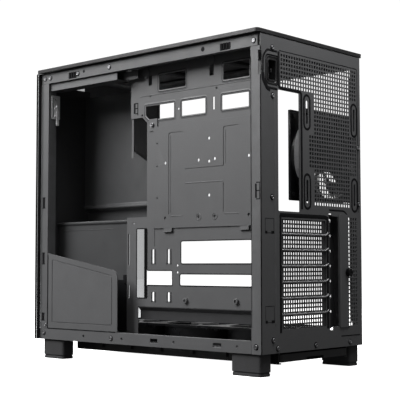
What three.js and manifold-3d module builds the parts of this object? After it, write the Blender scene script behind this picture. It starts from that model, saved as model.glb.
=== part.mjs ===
// Desktop computer tower with two chambers, standing with both of its side panels taken off.
// Millimetres, +Z up. The front faces -Y, the rear +Y, the open cable side +X and the main chamber -X.
// The origin is the middle of the footprint, on the desk.
import * as THREE from 'three';
import { mergeVertices } from 'three/addons/utils/BufferGeometryUtils.js';
import Module from 'manifold-3d';

const wasm = await Module();
wasm.setup();

// ---- Driving dimensions ----
const BODY_WIDTH = 220; // steel body, from side face to side face
const BODY_DEPTH = 433; // rear wall to the outer face of the front glass
const HEIGHT = 433.5; // desk to the top of the top panel
const FOOT_HEIGHT = 28;
const OVERHANG = 6.4; // how far the top panel and front glass cover the side panels' edges
const SHEET = 1; // steel sheet
const GAP = 0.3; // clearance between pieces that rest on each other
const SLOT_COUNT = 7;
const SLOT_PITCH = 20.32; // expansion slot spacing that every such board keeps
const TOP_SLOT_UP = 187.5; // middle of the highest slot above the desk
const FAN_SIZE = 120;
const FAN_DEPTH = 25;
const FLOOR_FAN_COUNT = 3;
const SCREW_HEAD_PROUD = 7; // the slot thumbscrew's head behind the rear wall

// ---- Sizes that follow ----
const SIDE_X = BODY_WIDTH / 2;
const REAR_Y = (BODY_DEPTH - SCREW_HEAD_PROUD) / 2;
const FLOOR_UP = FOOT_HEIGHT;
const FLOOR_TOP = FLOOR_UP + SHEET;
const RAIL_HEIGHT = 16;
const BOTTOM_RAIL_TOP = FLOOR_UP + RAIL_HEIGHT;
const TOP_PANEL_THICK = 5;
const TOP_PANEL_UP = HEIGHT - TOP_PANEL_THICK;
const ROOF_UP = TOP_PANEL_UP - GAP - SHEET;
const TOP_RAIL_UP = 412;
const TOP_RAIL_TOP = ROOF_UP - GAP;
const POST_WIDTH = 16;
const GLASS_THICK = 4;
const GLASS_FORWARD = BODY_DEPTH - GLASS_THICK;
const FRAME_FRONT = GLASS_FORWARD - GAP;
const POST_FORWARD = [412, 428];
const FRONT_WALL_FORWARD = [424, 425];
const TRAY_INSET = [26, 27];
const TRAY_FRONT = 259.5;
const TRAY_TOP = 416;
const TRAY_FOOT = FLOOR_TOP + GAP;
const UPPER_WALL_INSET = 84;
const LOWER_WALL_INSET = 30;
const FLOOR_FAN_INSET = 132;
const FLOOR_FAN_REAR = 91; // middle of the rearmost floor fan
const FLOOR_FAN_PITCH = FAN_SIZE + 0.5;
const REAR_FAN = { inset: 150, up: 283 };
const FAN_BORE = 57.5;
const FILTER = { inset: [43, 188], forward: [4, 390], up: [15.5, 25.5] };
const IO_INSET = 12.7; // middle line of the ports and buttons on the top panel

// ---- Finishes ----
const FINISHES = {
  steel: { color: 0x55575a, roughness: 0.55, metalness: 0.35 },
  steelDark: { color: 0x2c2d2f, roughness: 0.6, metalness: 0.3 },
  plastic: { color: 0x1b1c1e, roughness: 0.5, metalness: 0 },
  plasticPale: { color: 0xd6d8da, roughness: 0.5, metalness: 0 },
  mesh: { color: 0x232426, roughness: 0.75, metalness: 0 },
  rubber: { color: 0x3a3b3d, roughness: 0.85, metalness: 0 },
  glass: { color: 0x8d9296, roughness: 0.05, metalness: 0, transparent: true, opacity: 0.45 },
  plated: { color: 0xb9bcc0, roughness: 0.3, metalness: 1 },
  board: { color: 0x14231b, roughness: 0.6, metalness: 0.1 },
  screwBlack: { color: 0x17181a, roughness: 0.4, metalness: 0.6 },
};

const tower = new THREE.Group();

function add(name, geometry, finish, parent = tower) {
  const mesh = new THREE.Mesh(geometry, new THREE.MeshStandardMaterial(FINISHES[finish]));
  mesh.name = name;
  parent.add(mesh);
  return mesh;
}

// ---- Places on the body ----
// Every place is an inset from the cable-side face, a distance forward of the rear wall,
// and a height above the desk.
function place(inset, forward, up) {
  return new THREE.Vector3(SIDE_X - inset, REAR_Y - forward, up);
}

function block([inset0, inset1], [forward0, forward1], [up0, up1]) {
  const geometry = new THREE.BoxGeometry(inset1 - inset0, forward1 - forward0, up1 - up0);
  const middle = place((inset0 + inset1) / 2, (forward0 + forward1) / 2, (up0 + up1) / 2);
  return geometry.translate(middle.x, middle.y, middle.z);
}

// ---- Outlines ----
function points(pairs) {
  return pairs.map(([a, b]) => new THREE.Vector2(a, b));
}

function rect([a0, a1], [b0, b1]) {
  return points([[a0, b0], [a1, b0], [a1, b1], [a0, b1]]);
}

function roundRect([a0, a1], [b0, b1], radius, steps = 3) {
  const corners = [
    [a1 - radius, b0 + radius, -90],
    [a1 - radius, b1 - radius, 0],
    [a0 + radius, b1 - radius, 90],
    [a0 + radius, b0 + radius, 180],
  ];
  const pairs = [];
  for (const [a, b, from] of corners) {
    for (let step = 0; step <= steps; step += 1) {
      const angle = THREE.MathUtils.degToRad(from + (90 * step) / steps);
      pairs.push([a + radius * Math.cos(angle), b + radius * Math.sin(angle)]);
    }
  }
  return points(pairs);
}

function circle([a, b], radius, sides = 8) {
  const pairs = [];
  for (let side = 0; side < sides; side += 1) {
    const angle = (2 * Math.PI * side) / sides;
    pairs.push([a + radius * Math.cos(angle), b + radius * Math.sin(angle)]);
  }
  return points(pairs);
}

// ---- Sheets ----
function prism(outline, from, to) {
  const geometry = new THREE.ExtrudeGeometry(new THREE.Shape(outline), { depth: to - from, bevelEnabled: false });
  return geometry.translate(0, 0, from);
}

function extrude(outline, holes, depth) {
  const plate = prism(outline, 0, depth);
  if (holes.length === 0) {
    return plate;
  }
  return cut(plate, ...holes.map((hole) => prism(hole, -1, depth + 1)));
}

function placed(geometry, across, along, through, origin) {
  const frame = new THREE.Matrix4().makeBasis(across, along, through).setPosition(origin);
  return geometry.applyMatrix4(frame);
}

const INWARD = new THREE.Vector3(-1, 0, 0);
const FORWARD = new THREE.Vector3(0, -1, 0);
const BACKWARD = new THREE.Vector3(0, 1, 0);
const UPWARD = new THREE.Vector3(0, 0, 1);

// Parallel to the sides: the outline is in (forward, up), and the thickness runs inwards.
function sideSheet(outline, holes, [inset0, inset1]) {
  const geometry = extrude(outline, holes, inset1 - inset0);
  return placed(geometry, FORWARD, UPWARD, INWARD, place(inset0, 0, 0));
}

// Parallel to the rear wall: the outline is in (inset, up), and the thickness runs forward.
function rearSheet(outline, holes, [forward0, forward1]) {
  const geometry = extrude(outline, holes, forward1 - forward0);
  return placed(geometry, INWARD, UPWARD, BACKWARD, place(0, forward1, 0));
}

// Level: the outline is in (inset, forward), and the thickness runs upwards.
function levelSheet(outline, holes, [up0, up1]) {
  const geometry = extrude(outline, holes, up1 - up0);
  return placed(geometry, INWARD, FORWARD, UPWARD, place(0, 0, up0));
}

// ---- Joining and cutting ----
function toSolid(geometry) {
  const bare = geometry.clone();
  bare.deleteAttribute('normal');
  bare.deleteAttribute('uv');
  const merged = mergeVertices(bare, 1e-4);
  const vertProperties = new Float32Array(merged.attributes.position.array);
  const triVerts = new Uint32Array(merged.index.array);
  return new wasm.Manifold(new wasm.Mesh({ numProp: 3, vertProperties, triVerts }));
}

function toGeometry(solid) {
  const mesh = solid.getMesh();
  const geometry = new THREE.BufferGeometry();
  geometry.setAttribute('position', new THREE.BufferAttribute(mesh.vertProperties, 3));
  geometry.setIndex(new THREE.BufferAttribute(mesh.triVerts, 1));
  return geometry;
}

function join(first, ...others) {
  return toGeometry(others.reduce((solid, other) => solid.add(toSolid(other)), toSolid(first)));
}

function cut(first, ...others) {
  return toGeometry(others.reduce((solid, other) => solid.subtract(toSolid(other)), toSolid(first)));
}

// ---- Floor, roof, rails and posts ----
function floorFanForward(index) {
  return FLOOR_FAN_REAR + index * FLOOR_FAN_PITCH;
}

function floorPlate() {
  const vents = [];
  for (let index = 0; index < FLOOR_FAN_COUNT; index += 1) {
    vents.push(circle([FLOOR_FAN_INSET, floorFanForward(index)], 55, 24));
  }
  const tieSlots = [[76, 123], [177, 232]].map((forward) => rect([37, 44], forward));
  const outline = rect([SHEET + GAP, BODY_WIDTH - SHEET - GAP], [SHEET + GAP, FRAME_FRONT]);
  const sheet = levelSheet(outline, [...vents, ...tieSlots], [FLOOR_UP, FLOOR_TOP]);
  const railForward = [POST_WIDTH + GAP, FRAME_FRONT];
  const railUp = [FLOOR_UP, BOTTOM_RAIL_TOP];
  const railThick = SHEET + 2 * GAP;
  const cableRail = block([0, railThick], railForward, railUp);
  const mainRail = block([BODY_WIDTH - railThick, BODY_WIDTH], railForward, railUp);
  const frontLip = block([railThick, BODY_WIDTH - railThick], [FRAME_FRONT - SHEET, FRAME_FRONT], railUp);
  return join(sheet, cableRail, mainRail, frontLip);
}

function roofPlate() {
  const outline = rect([SHEET + GAP, BODY_WIDTH - SHEET - GAP], [SHEET + GAP, FRAME_FRONT]);
  const ioSlot = rect([4.5, 21], [286, 412]);
  const vents = [0, 1, 2].map((index) => {
    const forward = 40 + index * 122;
    return roundRect([55, 180], [forward, forward + 112], 12);
  });
  const sheet = levelSheet(outline, [ioSlot, ...vents], [ROOF_UP, ROOF_UP + SHEET]);
  const frontLip = block([UPPER_WALL_INSET + 2, 212], [FRAME_FRONT - SHEET, FRAME_FRONT], [400, ROOF_UP + SHEET]);
  return join(sheet, frontLip);
}

// A rail of J section: a face in line with the body's side and a return lip along its lower edge.
function topRail(mirrored) {
  const lip = 7;
  const section = [
    [0, TOP_RAIL_UP], [lip, TOP_RAIL_UP], [lip, TOP_RAIL_UP + SHEET],
    [SHEET, TOP_RAIL_UP + SHEET], [SHEET, TOP_RAIL_TOP], [0, TOP_RAIL_TOP],
  ];
  const outline = section.map(([inset, up]) => [mirrored ? BODY_WIDTH - inset : inset, up]);
  return rearSheet(points(outline), [], [4.6, FRAME_FRONT]);
}

function frontPost() {
  const section = [
    [0, POST_FORWARD[0]], [15, POST_FORWARD[0]], [15, POST_FORWARD[0] + SHEET],
    [SHEET, POST_FORWARD[0] + SHEET], [SHEET, POST_FORWARD[1]], [0, POST_FORWARD[1]],
  ];
  return levelSheet(points(section), [], [BOTTOM_RAIL_TOP + GAP, TOP_RAIL_UP - GAP]);
}

function frontWall() {
  const outline = rect([2, UPPER_WALL_INSET + 10], [FLOOR_TOP + GAP, TOP_RAIL_UP - GAP]);
  return rearSheet(outline, [], FRONT_WALL_FORWARD);
}

add('floor_plate', floorPlate(), 'steel');
add('roof_plate', roofPlate(), 'steel');
add('top_rail_cable_side', topRail(false), 'steel');
add('top_rail_main_side', topRail(true), 'steel');
add('front_post', frontPost(), 'steel');
add('front_wall', frontWall(), 'steelDark');

// ---- Rear wall ----
function slotUp(index) {
  return TOP_SLOT_UP - index * SLOT_PITCH;
}

const SLOT_THUMBSCREW = { inset: 184, up: 128 };
const SHANK_HOLE = 2.3;
const INLET_UP = [371, 396];
const INLET_INSET = [15, 31];

function rearPanel() {
  const ioOpening = rect([34, 77], [206, 360]);
  const slots = [];
  for (let index = 0; index < SLOT_COUNT; index += 1) {
    slots.push(rect([39, 131], [slotUp(index) - 8.6, slotUp(index) + 8.6]));
  }
  const tabRecess = rect([143, 165], [54, 204]);
  const inletOpening = roundRect([9, 35], [364, 403], 4);
  const screwHole = circle([SLOT_THUMBSCREW.inset, SLOT_THUMBSCREW.up], SHANK_HOLE);
  const openings = [ioOpening, ...slots, tabRecess, inletOpening, screwHole];
  const web = rearSheet(rect([0, BODY_WIDTH], [FLOOR_UP, TOP_RAIL_TOP]), openings, [0, SHEET]);
  const flangeUp = [FLOOR_UP, TOP_RAIL_UP - GAP];
  const cableFlange = block([0, SHEET], [0, POST_WIDTH], flangeUp);
  const mainFlange = block([BODY_WIDTH - SHEET, BODY_WIDTH], [0, POST_WIDTH], flangeUp);
  const cornerSlot = block([-SHEET, 4], [-SHEET, 6], [376, 405]);
  return cut(join(web, cableFlange, mainFlange), cornerSlot);
}

// A slot cover lies behind the wall and steps inwards to a tab that is screwed to the ledge.
function slotCover(index) {
  const face = SHEET + GAP;
  const tab = 10.7;
  const section = [
    [37, face], [147, face], [147, tab], [162, tab], [162, tab + SHEET],
    [146, tab + SHEET], [146, face + SHEET], [37, face + SHEET],
  ];
  const half = SLOT_PITCH / 2 - GAP / 2;
  const tabHole = block([151, 155], [tab - 1, tab + 2], [slotUp(index) - 2, slotUp(index) + 2]);
  const bar = levelSheet(points(section), [], [slotUp(index) - half, slotUp(index) + half]);
  return cut(bar, tabHole);
}

function slotLedge() {
  const face = 12.1;
  const section = [
    [158, face], [171, face], [171, SHEET + GAP], [172, SHEET + GAP], [172, face + SHEET], [158, face + SHEET],
  ];
  return levelSheet(points(section), [], [54, 206]);
}

// A screw seen along its axis: a head of one radius on a shank of another, along local +Y.
function screw(headRadius, headHeight, shankRadius, shankLength, sides = 16) {
  const profile = points([
    [0, 0], [headRadius, 0], [headRadius, headHeight], [shankRadius, headHeight],
    [shankRadius, headHeight + shankLength], [0, headHeight + shankLength],
  ]);
  return new THREE.LatheGeometry(profile, sides);
}

// The bracket narrows below the inlet, where the connector opening begins beside it.
function inletBracket() {
  const hole = rect([INLET_INSET[0] - 2, INLET_INSET[1] + 2], [INLET_UP[0] - 2, INLET_UP[1] + 2]);
  const outline = points([[4, 349], [33.4, 349], [33.4, 361], [40, 361], [40, 410], [4, 410]]);
  return rearSheet(outline, [hole], [SHEET + GAP, 2 * SHEET + GAP]);
}

function powerInlet() {
  const wall = 1.6;
  const body = block(
    [INLET_INSET[0] - wall, INLET_INSET[1] + wall],
    [GAP, 26],
    [INLET_UP[0] - wall, INLET_UP[1] + wall],
  );
  const cavityDepth = 17;
  const cavity = block(INLET_INSET, [-SHEET, cavityDepth], INLET_UP);
  const middleUp = (INLET_UP[0] + INLET_UP[1]) / 2;
  const pinPlaces = [[21, middleUp - 7], [21, middleUp + 7], [26, middleUp]];
  const pins = pinPlaces.map(([inset, up]) =>
    block([inset - 2, inset + 2], [4, cavityDepth + wall], [up - 1, up + 1]));
  return join(cut(body, cavity), ...pins);
}

add('rear_panel', rearPanel(), 'steel');
for (let index = 0; index < SLOT_COUNT; index += 1) {
  add(`slot_cover_${index + 1}`, slotCover(index), 'steel');
}
add('slot_ledge', slotLedge(), 'steel');
const lockHole = circle([SLOT_THUMBSCREW.inset, SLOT_THUMBSCREW.up], SHANK_HOLE);
const lockOutline = rect([166, 189.5], [54, 206]);
add('slot_lock_plate', rearSheet(lockOutline, [lockHole], [-SHEET - GAP, -GAP]), 'steel');
const slotThumbscrew = add('slot_thumbscrew', screw(5.5, 5.4, 2, 6), 'screwBlack');
slotThumbscrew.position.copy(place(SLOT_THUMBSCREW.inset, -SCREW_HEAD_PROUD, SLOT_THUMBSCREW.up));
slotThumbscrew.rotation.x = Math.PI;
add('inlet_bracket', inletBracket(), 'steelDark');
add('power_inlet', powerInlet(), 'plastic');

// ---- Motherboard tray and what is fastened to it ----
const PLATE_SCREW = { forward: 214.5, up: 333.5 };

function motherboardTray() {
  const legTop = 80;
  const outline = points([
    [2, TRAY_FOOT], [38, TRAY_FOOT], [38, legTop], [244, legTop], [244, TRAY_FOOT], [267, TRAY_FOOT],
    [267, 205], [226.6, 205], [226.6, 338], [236, 346], [TRAY_FRONT, 346], [TRAY_FRONT, TRAY_TOP],
    [30, TRAY_TOP], [30, 345], [2, 345],
  ]);
  const cableOpenings = [
    roundRect([150, 205], [379, 405], 4),
    roundRect([37, 86], [379, 405], 4),
    roundRect([114, 161], [339, 363], 3),
    roundRect([38.5, 88], [340, 363], 3),
    points([[172, 339], [222, 339], [231, 347], [231, 363], [172, 363]]),
    rect([99.5, 102.5], [344, 361]),
  ];
  const windows = [
    roundRect([36, 161], [139.5, 170.5], 3),
    roundRect([36, 163], [110, 126], 3),
    points([
      [247, 92], [247, 189], [226, 189], [226, 130.5], [177, 130.5], [177, 110], [226, 110], [226, 92],
    ]),
    roundRect([95, 200], [222, 322], 8),
    rect([34, 43], [275, 282]),
  ];
  const tieSlots = [
    rect([212, 216], [140, 160]), rect([182, 186], [140, 160]),
    rect([212, 216], [88, 101]), rect([182, 186], [88, 101]),
    rect([261.5, 264.5], [137, 182]), rect([261.5, 264.5], [91, 110]),
  ];
  const screwHole = circle([PLATE_SCREW.forward, PLATE_SCREW.up], SHANK_HOLE);
  return sideSheet(outline, [...cableOpenings, ...windows, ...tieSlots, screwHole], TRAY_INSET);
}

// The gusset ties the tray's front edge to the cable bay's wall.
function trayGusset() {
  const outline = points([
    [TRAY_INSET[1] + GAP, TRAY_TOP], [UPPER_WALL_INSET - GAP, TRAY_TOP],
    [UPPER_WALL_INSET - GAP, 276], [TRAY_INSET[1] + GAP, 302],
  ]);
  return rearSheet(outline, [], [TRAY_FRONT - SHEET, TRAY_FRONT]);
}

function drivePlate() {
  const outline = points([
    [36.5, 188.5], [212.5, 188.5], [212.5, 325], [222, 325], [222, 342], [205, 342], [205, 330], [36.5, 330],
  ]);
  const upperRow = 278.3;
  const lowerRow = upperRow - 76;
  const driveHoles = [];
  for (const forward of [189.5, 127.4, 98.5, 40.1]) {
    driveHoles.push(circle([forward, upperRow], 2), circle([forward, lowerRow], 2));
  }
  const wallHoles = [306.2, 275.5, 230.4].map((up) => circle([108.5, up], 2));
  const screwHole = circle([PLATE_SCREW.forward, PLATE_SCREW.up], SHANK_HOLE);
  const inset = [TRAY_INSET[0] - GAP - 1.2, TRAY_INSET[0] - GAP];
  return sideSheet(outline, [...driveHoles, ...wallHoles, screwHole], inset);
}

add('motherboard_tray', motherboardTray(), 'steel');
add('tray_gusset', trayGusset(), 'steel');
add('drive_plate', drivePlate(), 'steel');
const plateScrewHead = 2;
const plateScrew = add('drive_plate_screw', screw(3.2, plateScrewHead, 2, 4), 'screwBlack');
const plateScrewInset = TRAY_INSET[0] - 1.2 - 2 * GAP - plateScrewHead;
plateScrew.position.copy(place(plateScrewInset, PLATE_SCREW.forward, PLATE_SCREW.up));
plateScrew.rotation.z = Math.PI / 2;

// ---- Cable bay: two moulded walls that meet at a shelf, and the cover over the lower bay ----
const SHELF_UP = 202.5;

function bayUpperWall() {
  const wall = UPPER_WALL_INSET;
  const outline = points([
    [wall, 400], [wall, 231], [wall - 3, 228], [wall - 3, 225], [wall + 8, 221.5], [wall + 8, SHELF_UP + GAP],
    [wall + 9.5, SHELF_UP + GAP], [wall + 9.5, 222.9], [wall - 1.5, 226.2], [wall - 1.5, 227.4],
    [wall + 1.5, 230.4], [wall + 1.5, 400],
  ]);
  return rearSheet(outline, [], [TRAY_FRONT + GAP, FRONT_WALL_FORWARD[0] - GAP]);
}

function bayLowerWall() {
  const wall = LOWER_WALL_INSET;
  const shelfEnd = UPPER_WALL_INSET + 8;
  const foot = FLOOR_TOP + GAP;
  const outline = points([
    [wall, foot], [wall, 197], [wall - 2, 199], [wall - 2, SHELF_UP], [shelfEnd, SHELF_UP],
    [shelfEnd, SHELF_UP - 1.5], [wall + 1.5, SHELF_UP - 1.5], [wall + 1.5, foot],
  ]);
  return rearSheet(outline, [], [268, FRONT_WALL_FORWARD[0] - GAP]);
}

function bayCover() {
  const bottom = BOTTOM_RAIL_TOP + GAP;
  const rear = 259;
  const front = POST_FORWARD[0] - GAP;
  const outline = points([
    [rear, bottom], [front, bottom], [front, 156], [rear + 9, 131], [rear + 3, 128.6], [rear, 122],
  ]);
  return sideSheet(outline, [], [0, 1.2]);
}

add('bay_upper_wall', bayUpperWall(), 'plastic');
add('bay_lower_wall', bayLowerWall(), 'plastic');
add('bay_cover', bayCover(), 'steel');
add('front_corner_bracket', rearSheet(rect([5, 21], [359, 395]), [], [410.5, 411.7]), 'steel');
add('front_corner_clip', block([12.5, 16.5], [407.5, 410.2], [349, 380]), 'plasticPale');

// ---- Front glass, top panel and the ports and buttons in it ----
const PANEL_INSET = [-OVERHANG, BODY_WIDTH + OVERHANG];
const FILTER_TOP_INSET = [40, 190];
const FILTER_TOP_FORWARD = [30, 400];
const USB_A_FORWARD = [300, 323];
const USB_C_FORWARD = 346;
const AUDIO_FORWARD = 361;
const RESET_FORWARD = 376;
const POWER_FORWARD = 396;
const POWER_RADIUS = 7;
const RESET_RADIUS = 2.6;
const BUTTON_CLEARANCE = 0.5;
const USB_A_HALF = [2.9, 6.8];
const USB_C_HALF = [1.7, 4.6];
const AUDIO_RADIUS = 3.2;

function portOpening([halfInset, halfForward], forward) {
  const clear = GAP;
  return rect(
    [IO_INSET - halfInset - clear, IO_INSET + halfInset + clear],
    [forward - halfForward - clear, forward + halfForward + clear],
  );
}

function topPanel() {
  const filterOpening = roundRect(
    [FILTER_TOP_INSET[0] - GAP, FILTER_TOP_INSET[1] + GAP],
    [FILTER_TOP_FORWARD[0] - GAP, FILTER_TOP_FORWARD[1] + GAP],
    6,
  );
  const holes = [
    filterOpening,
    ...USB_A_FORWARD.map((forward) => portOpening(USB_A_HALF, forward)),
    portOpening(USB_C_HALF, USB_C_FORWARD),
    circle([IO_INSET, AUDIO_FORWARD], AUDIO_RADIUS + GAP, 16),
    circle([IO_INSET, RESET_FORWARD], RESET_RADIUS + BUTTON_CLEARANCE, 12),
    circle([IO_INSET, POWER_FORWARD], POWER_RADIUS + BUTTON_CLEARANCE, 24),
  ];
  return levelSheet(roundRect(PANEL_INSET, [-0.5, BODY_DEPTH], 5), holes, [TOP_PANEL_UP, HEIGHT]);
}

// The dust filter is a shallow lid: a frame turned down around its mesh.
function topFilter() {
  const frame = 6;
  const lid = levelSheet(roundRect(FILTER_TOP_INSET, FILTER_TOP_FORWARD, 6), [], [TOP_PANEL_UP + GAP, HEIGHT - 0.5]);
  const hollow = block(
    [FILTER_TOP_INSET[0] + frame, FILTER_TOP_INSET[1] - frame],
    [FILTER_TOP_FORWARD[0] + frame, FILTER_TOP_FORWARD[1] - frame],
    [TOP_PANEL_UP, HEIGHT - 2],
  );
  return cut(lid, hollow);
}

// The channel under the top rail that carries the port board.
function portChannel() {
  const section = points([
    [4, 401], [24, 401], [24, 426], [23, 426], [23, 402], [5, 402], [5, 411.5], [4, 411.5],
  ]);
  return rearSheet(section, [], [265, 411.3]);
}

const PORT_BOARD_TOP = 417;
const PORT_TOP = HEIGHT - 0.3;

function usbPort([halfInset, halfForward], forward, tongueHalf) {
  const shellUp = [PORT_BOARD_TOP + GAP, PORT_TOP];
  const wall = 0.5;
  const shell = block(
    [IO_INSET - halfInset, IO_INSET + halfInset], [forward - halfForward, forward + halfForward], shellUp,
  );
  const cavity = block(
    [IO_INSET - halfInset + wall, IO_INSET + halfInset - wall],
    [forward - halfForward + wall, forward + halfForward - wall],
    [shellUp[0] + 4, HEIGHT + 1],
  );
  const tongue = block(
    [IO_INSET - tongueHalf, IO_INSET + tongueHalf],
    [forward - halfForward + 1.6, forward + halfForward - 1.6],
    [shellUp[0] + 3, PORT_TOP - 1.5],
  );
  return join(cut(shell, cavity), tongue);
}

function audioJack() {
  const bottom = PORT_BOARD_TOP + GAP;
  const profile = points([
    [0, bottom], [AUDIO_RADIUS, bottom], [AUDIO_RADIUS, PORT_TOP], [1.8, PORT_TOP], [1.8, bottom + 3], [0, bottom + 3],
  ]);
  const geometry = new THREE.LatheGeometry(profile, 16).rotateX(Math.PI / 2);
  const middle = place(IO_INSET, AUDIO_FORWARD, 0);
  return geometry.translate(middle.x, middle.y, 0);
}

function button(radius, forward, sides) {
  const [bottom, top] = [PORT_BOARD_TOP + 4, HEIGHT - 0.2];
  const geometry = new THREE.CylinderGeometry(radius, radius, top - bottom, sides).rotateX(Math.PI / 2);
  const middle = place(IO_INSET, forward, (bottom + top) / 2);
  return geometry.translate(middle.x, middle.y, middle.z);
}

const glassOutline = rect(PANEL_INSET, [FLOOR_UP, TOP_PANEL_UP - GAP]);
add('front_glass', rearSheet(glassOutline, [], [GLASS_FORWARD, BODY_DEPTH]), 'glass');
add('top_panel', topPanel(), 'plastic');
add('top_dust_filter', topFilter(), 'mesh');
add('port_channel', portChannel(), 'steel');
add('port_board', block([11.9, 13.5], [290, 406], [404, PORT_BOARD_TOP]), 'board');
USB_A_FORWARD.forEach((forward, index) => {
  add(`usb_a_port_${index + 1}`, usbPort(USB_A_HALF, forward, 0.9), 'plated');
});
add('usb_c_port', usbPort(USB_C_HALF, USB_C_FORWARD, 0.4), 'plated');
add('audio_jack', audioJack(), 'plastic');
add('power_button', button(POWER_RADIUS, POWER_FORWARD, 24), 'plastic');
add('reset_button', button(RESET_RADIUS, RESET_FORWARD, 12), 'plastic');

// ---- Fans ----
// A fan stands on its own axis, local +Z, with its struts at z = 0 and its intake at z = FAN_DEPTH.
const FAN_HUB = 20;
const BLADE_COUNT = 9;

function fanFrame() {
  const half = FAN_SIZE / 2;
  const ring = extrude(roundRect([-half, half], [-half, half], 2, 2), [circle([0, 0], FAN_BORE, 32)], FAN_DEPTH);
  const motorPlate = new THREE.CylinderGeometry(FAN_HUB + 1, FAN_HUB + 1, 3, 24).rotateX(Math.PI / 2);
  motorPlate.translate(0, 0, 1.5);
  const struts = [0, 1, 2, 3].map((index) => {
    const strut = new THREE.BoxGeometry(FAN_BORE - FAN_HUB + 2, 4, 3);
    strut.translate((FAN_BORE + FAN_HUB) / 2, 0, 1.5);
    return strut.rotateZ((index * Math.PI) / 2 + Math.PI / 8);
  });
  return join(ring, motorPlate, ...struts);
}

function fanRotor() {
  const hub = new THREE.CylinderGeometry(FAN_HUB, FAN_HUB, 18.5, 24).rotateX(Math.PI / 2);
  hub.translate(0, 0, 13.2);
  const blades = [];
  for (let index = 0; index < BLADE_COUNT; index += 1) {
    const blade = new THREE.BoxGeometry(36.5, 30, 1.6);
    blade.rotateX(THREE.MathUtils.degToRad(35));
    blade.translate(36.2, 0, 13.2);
    blades.push(blade.rotateZ((index * 2 * Math.PI) / BLADE_COUNT));
  }
  return join(hub, ...blades);
}

function addFan(name, position, turnX) {
  const mount = new THREE.Group();
  mount.position.copy(position);
  mount.rotation.x = turnX;
  add(`${name}_frame`, fanFrame(), 'plastic', mount);
  add(`${name}_rotor`, fanRotor(), 'plastic', mount);
  tower.add(mount);
}

addFan('rear_fan', place(REAR_FAN.inset, SHEET + 2 * GAP, REAR_FAN.up), Math.PI / 2);
for (let index = 0; index < FLOOR_FAN_COUNT; index += 1) {
  const fanTop = FLOOR_TOP + GAP + FAN_DEPTH;
  addFan(`floor_fan_${index + 1}`, place(FLOOR_FAN_INSET, floorFanForward(index), fanTop), Math.PI);
}

// ---- Bottom dust filter, its runners, and the feet ----
function bottomFilter() {
  const frame = 6;
  const tray = block(FILTER.inset, FILTER.forward, FILTER.up);
  const hollow = block(
    [FILTER.inset[0] + frame, FILTER.inset[1] - frame],
    [FILTER.forward[0] + frame, FILTER.forward[1] - frame],
    [FILTER.up[0] + 2, FILTER.up[1] + 1],
  );
  return cut(tray, hollow);
}

function filterRunner(mirrored) {
  const clear = 0.8;
  const edge = FILTER.inset[0] - clear;
  const section = [
    [edge - 1.5, 13], [edge + 4, 13], [edge + 4, 14.5], [edge, 14.5], [edge, FLOOR_UP - GAP],
    [edge - 1.5, FLOOR_UP - GAP],
  ];
  const middle = FILTER.inset[0] + FILTER.inset[1];
  const outline = section.map(([inset, up]) => [mirrored ? middle - inset : inset, up]);
  return rearSheet(points(outline), [], [FILTER.forward[0] + 2, FILTER.forward[1]]);
}

function foot(inset, forward) {
  return levelSheet(roundRect(inset, forward, 5), [], [0, FLOOR_UP - GAP]);
}

add('bottom_dust_filter', bottomFilter(), 'mesh');
add('filter_runner_cable_side', filterRunner(false), 'plastic');
add('filter_runner_main_side', filterRunner(true), 'plastic');
const FEET = { cable_side: [3, 25], main_side: [195, 217] };
const FEET_FORWARD = { rear: [4, 53], front: [378, 424] };
for (const [side, inset] of Object.entries(FEET)) {
  for (const [end, forward] of Object.entries(FEET_FORWARD)) {
    add(`foot_${end}_${side}`, foot(inset, forward), 'rubber');
  }
}

export default tower;
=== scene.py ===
"""Looks of the two-chamber computer tower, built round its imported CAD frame."""
import math

import bmesh
import bpy
from mathutils import Matrix, Vector
from mathutils.geometry import delaunay_2d_cdt


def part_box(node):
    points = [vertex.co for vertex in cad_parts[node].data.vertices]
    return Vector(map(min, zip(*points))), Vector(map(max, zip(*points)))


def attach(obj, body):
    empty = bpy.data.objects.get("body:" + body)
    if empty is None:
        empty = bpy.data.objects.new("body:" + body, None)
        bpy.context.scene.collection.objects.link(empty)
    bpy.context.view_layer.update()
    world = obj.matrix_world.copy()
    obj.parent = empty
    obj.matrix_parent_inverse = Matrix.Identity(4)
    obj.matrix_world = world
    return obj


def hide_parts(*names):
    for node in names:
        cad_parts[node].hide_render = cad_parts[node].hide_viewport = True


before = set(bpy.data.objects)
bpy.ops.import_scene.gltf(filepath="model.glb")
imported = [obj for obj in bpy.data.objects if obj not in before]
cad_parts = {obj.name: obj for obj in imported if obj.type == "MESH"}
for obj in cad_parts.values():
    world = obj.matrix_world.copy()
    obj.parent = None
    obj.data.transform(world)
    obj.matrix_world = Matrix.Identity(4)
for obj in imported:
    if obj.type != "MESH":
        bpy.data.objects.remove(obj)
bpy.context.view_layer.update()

# ---- Camera, at the photograph's viewpoint ----
MM = 0.001
CAMERA_PLACE = Vector((1.10013, 1.01658, 0.13869))
CAMERA_YAW = math.radians(47.551)
CAMERA_PITCH = math.radians(3.57)
CAMERA_ROLL = math.radians(-0.065)
CAMERA_LENS = 93.03
CAMERA_SENSOR = 36.0


def make_camera():
    data = bpy.data.cameras.new("camera")
    data.lens = CAMERA_LENS
    data.sensor_width = CAMERA_SENSOR
    data.clip_start = 0.02
    camera = bpy.data.objects.new("camera", data)
    bpy.context.scene.collection.objects.link(camera)
    flat = math.cos(CAMERA_PITCH)
    ahead = Vector((-math.sin(CAMERA_YAW) * flat, -math.cos(CAMERA_YAW) * flat, math.sin(CAMERA_PITCH)))
    turn = ahead.to_track_quat("-Z", "Y").to_matrix().to_4x4() @ Matrix.Rotation(CAMERA_ROLL, 4, "Z")
    camera.matrix_world = Matrix.Translation(CAMERA_PLACE) @ turn
    bpy.context.scene.camera = camera


make_camera()

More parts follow.
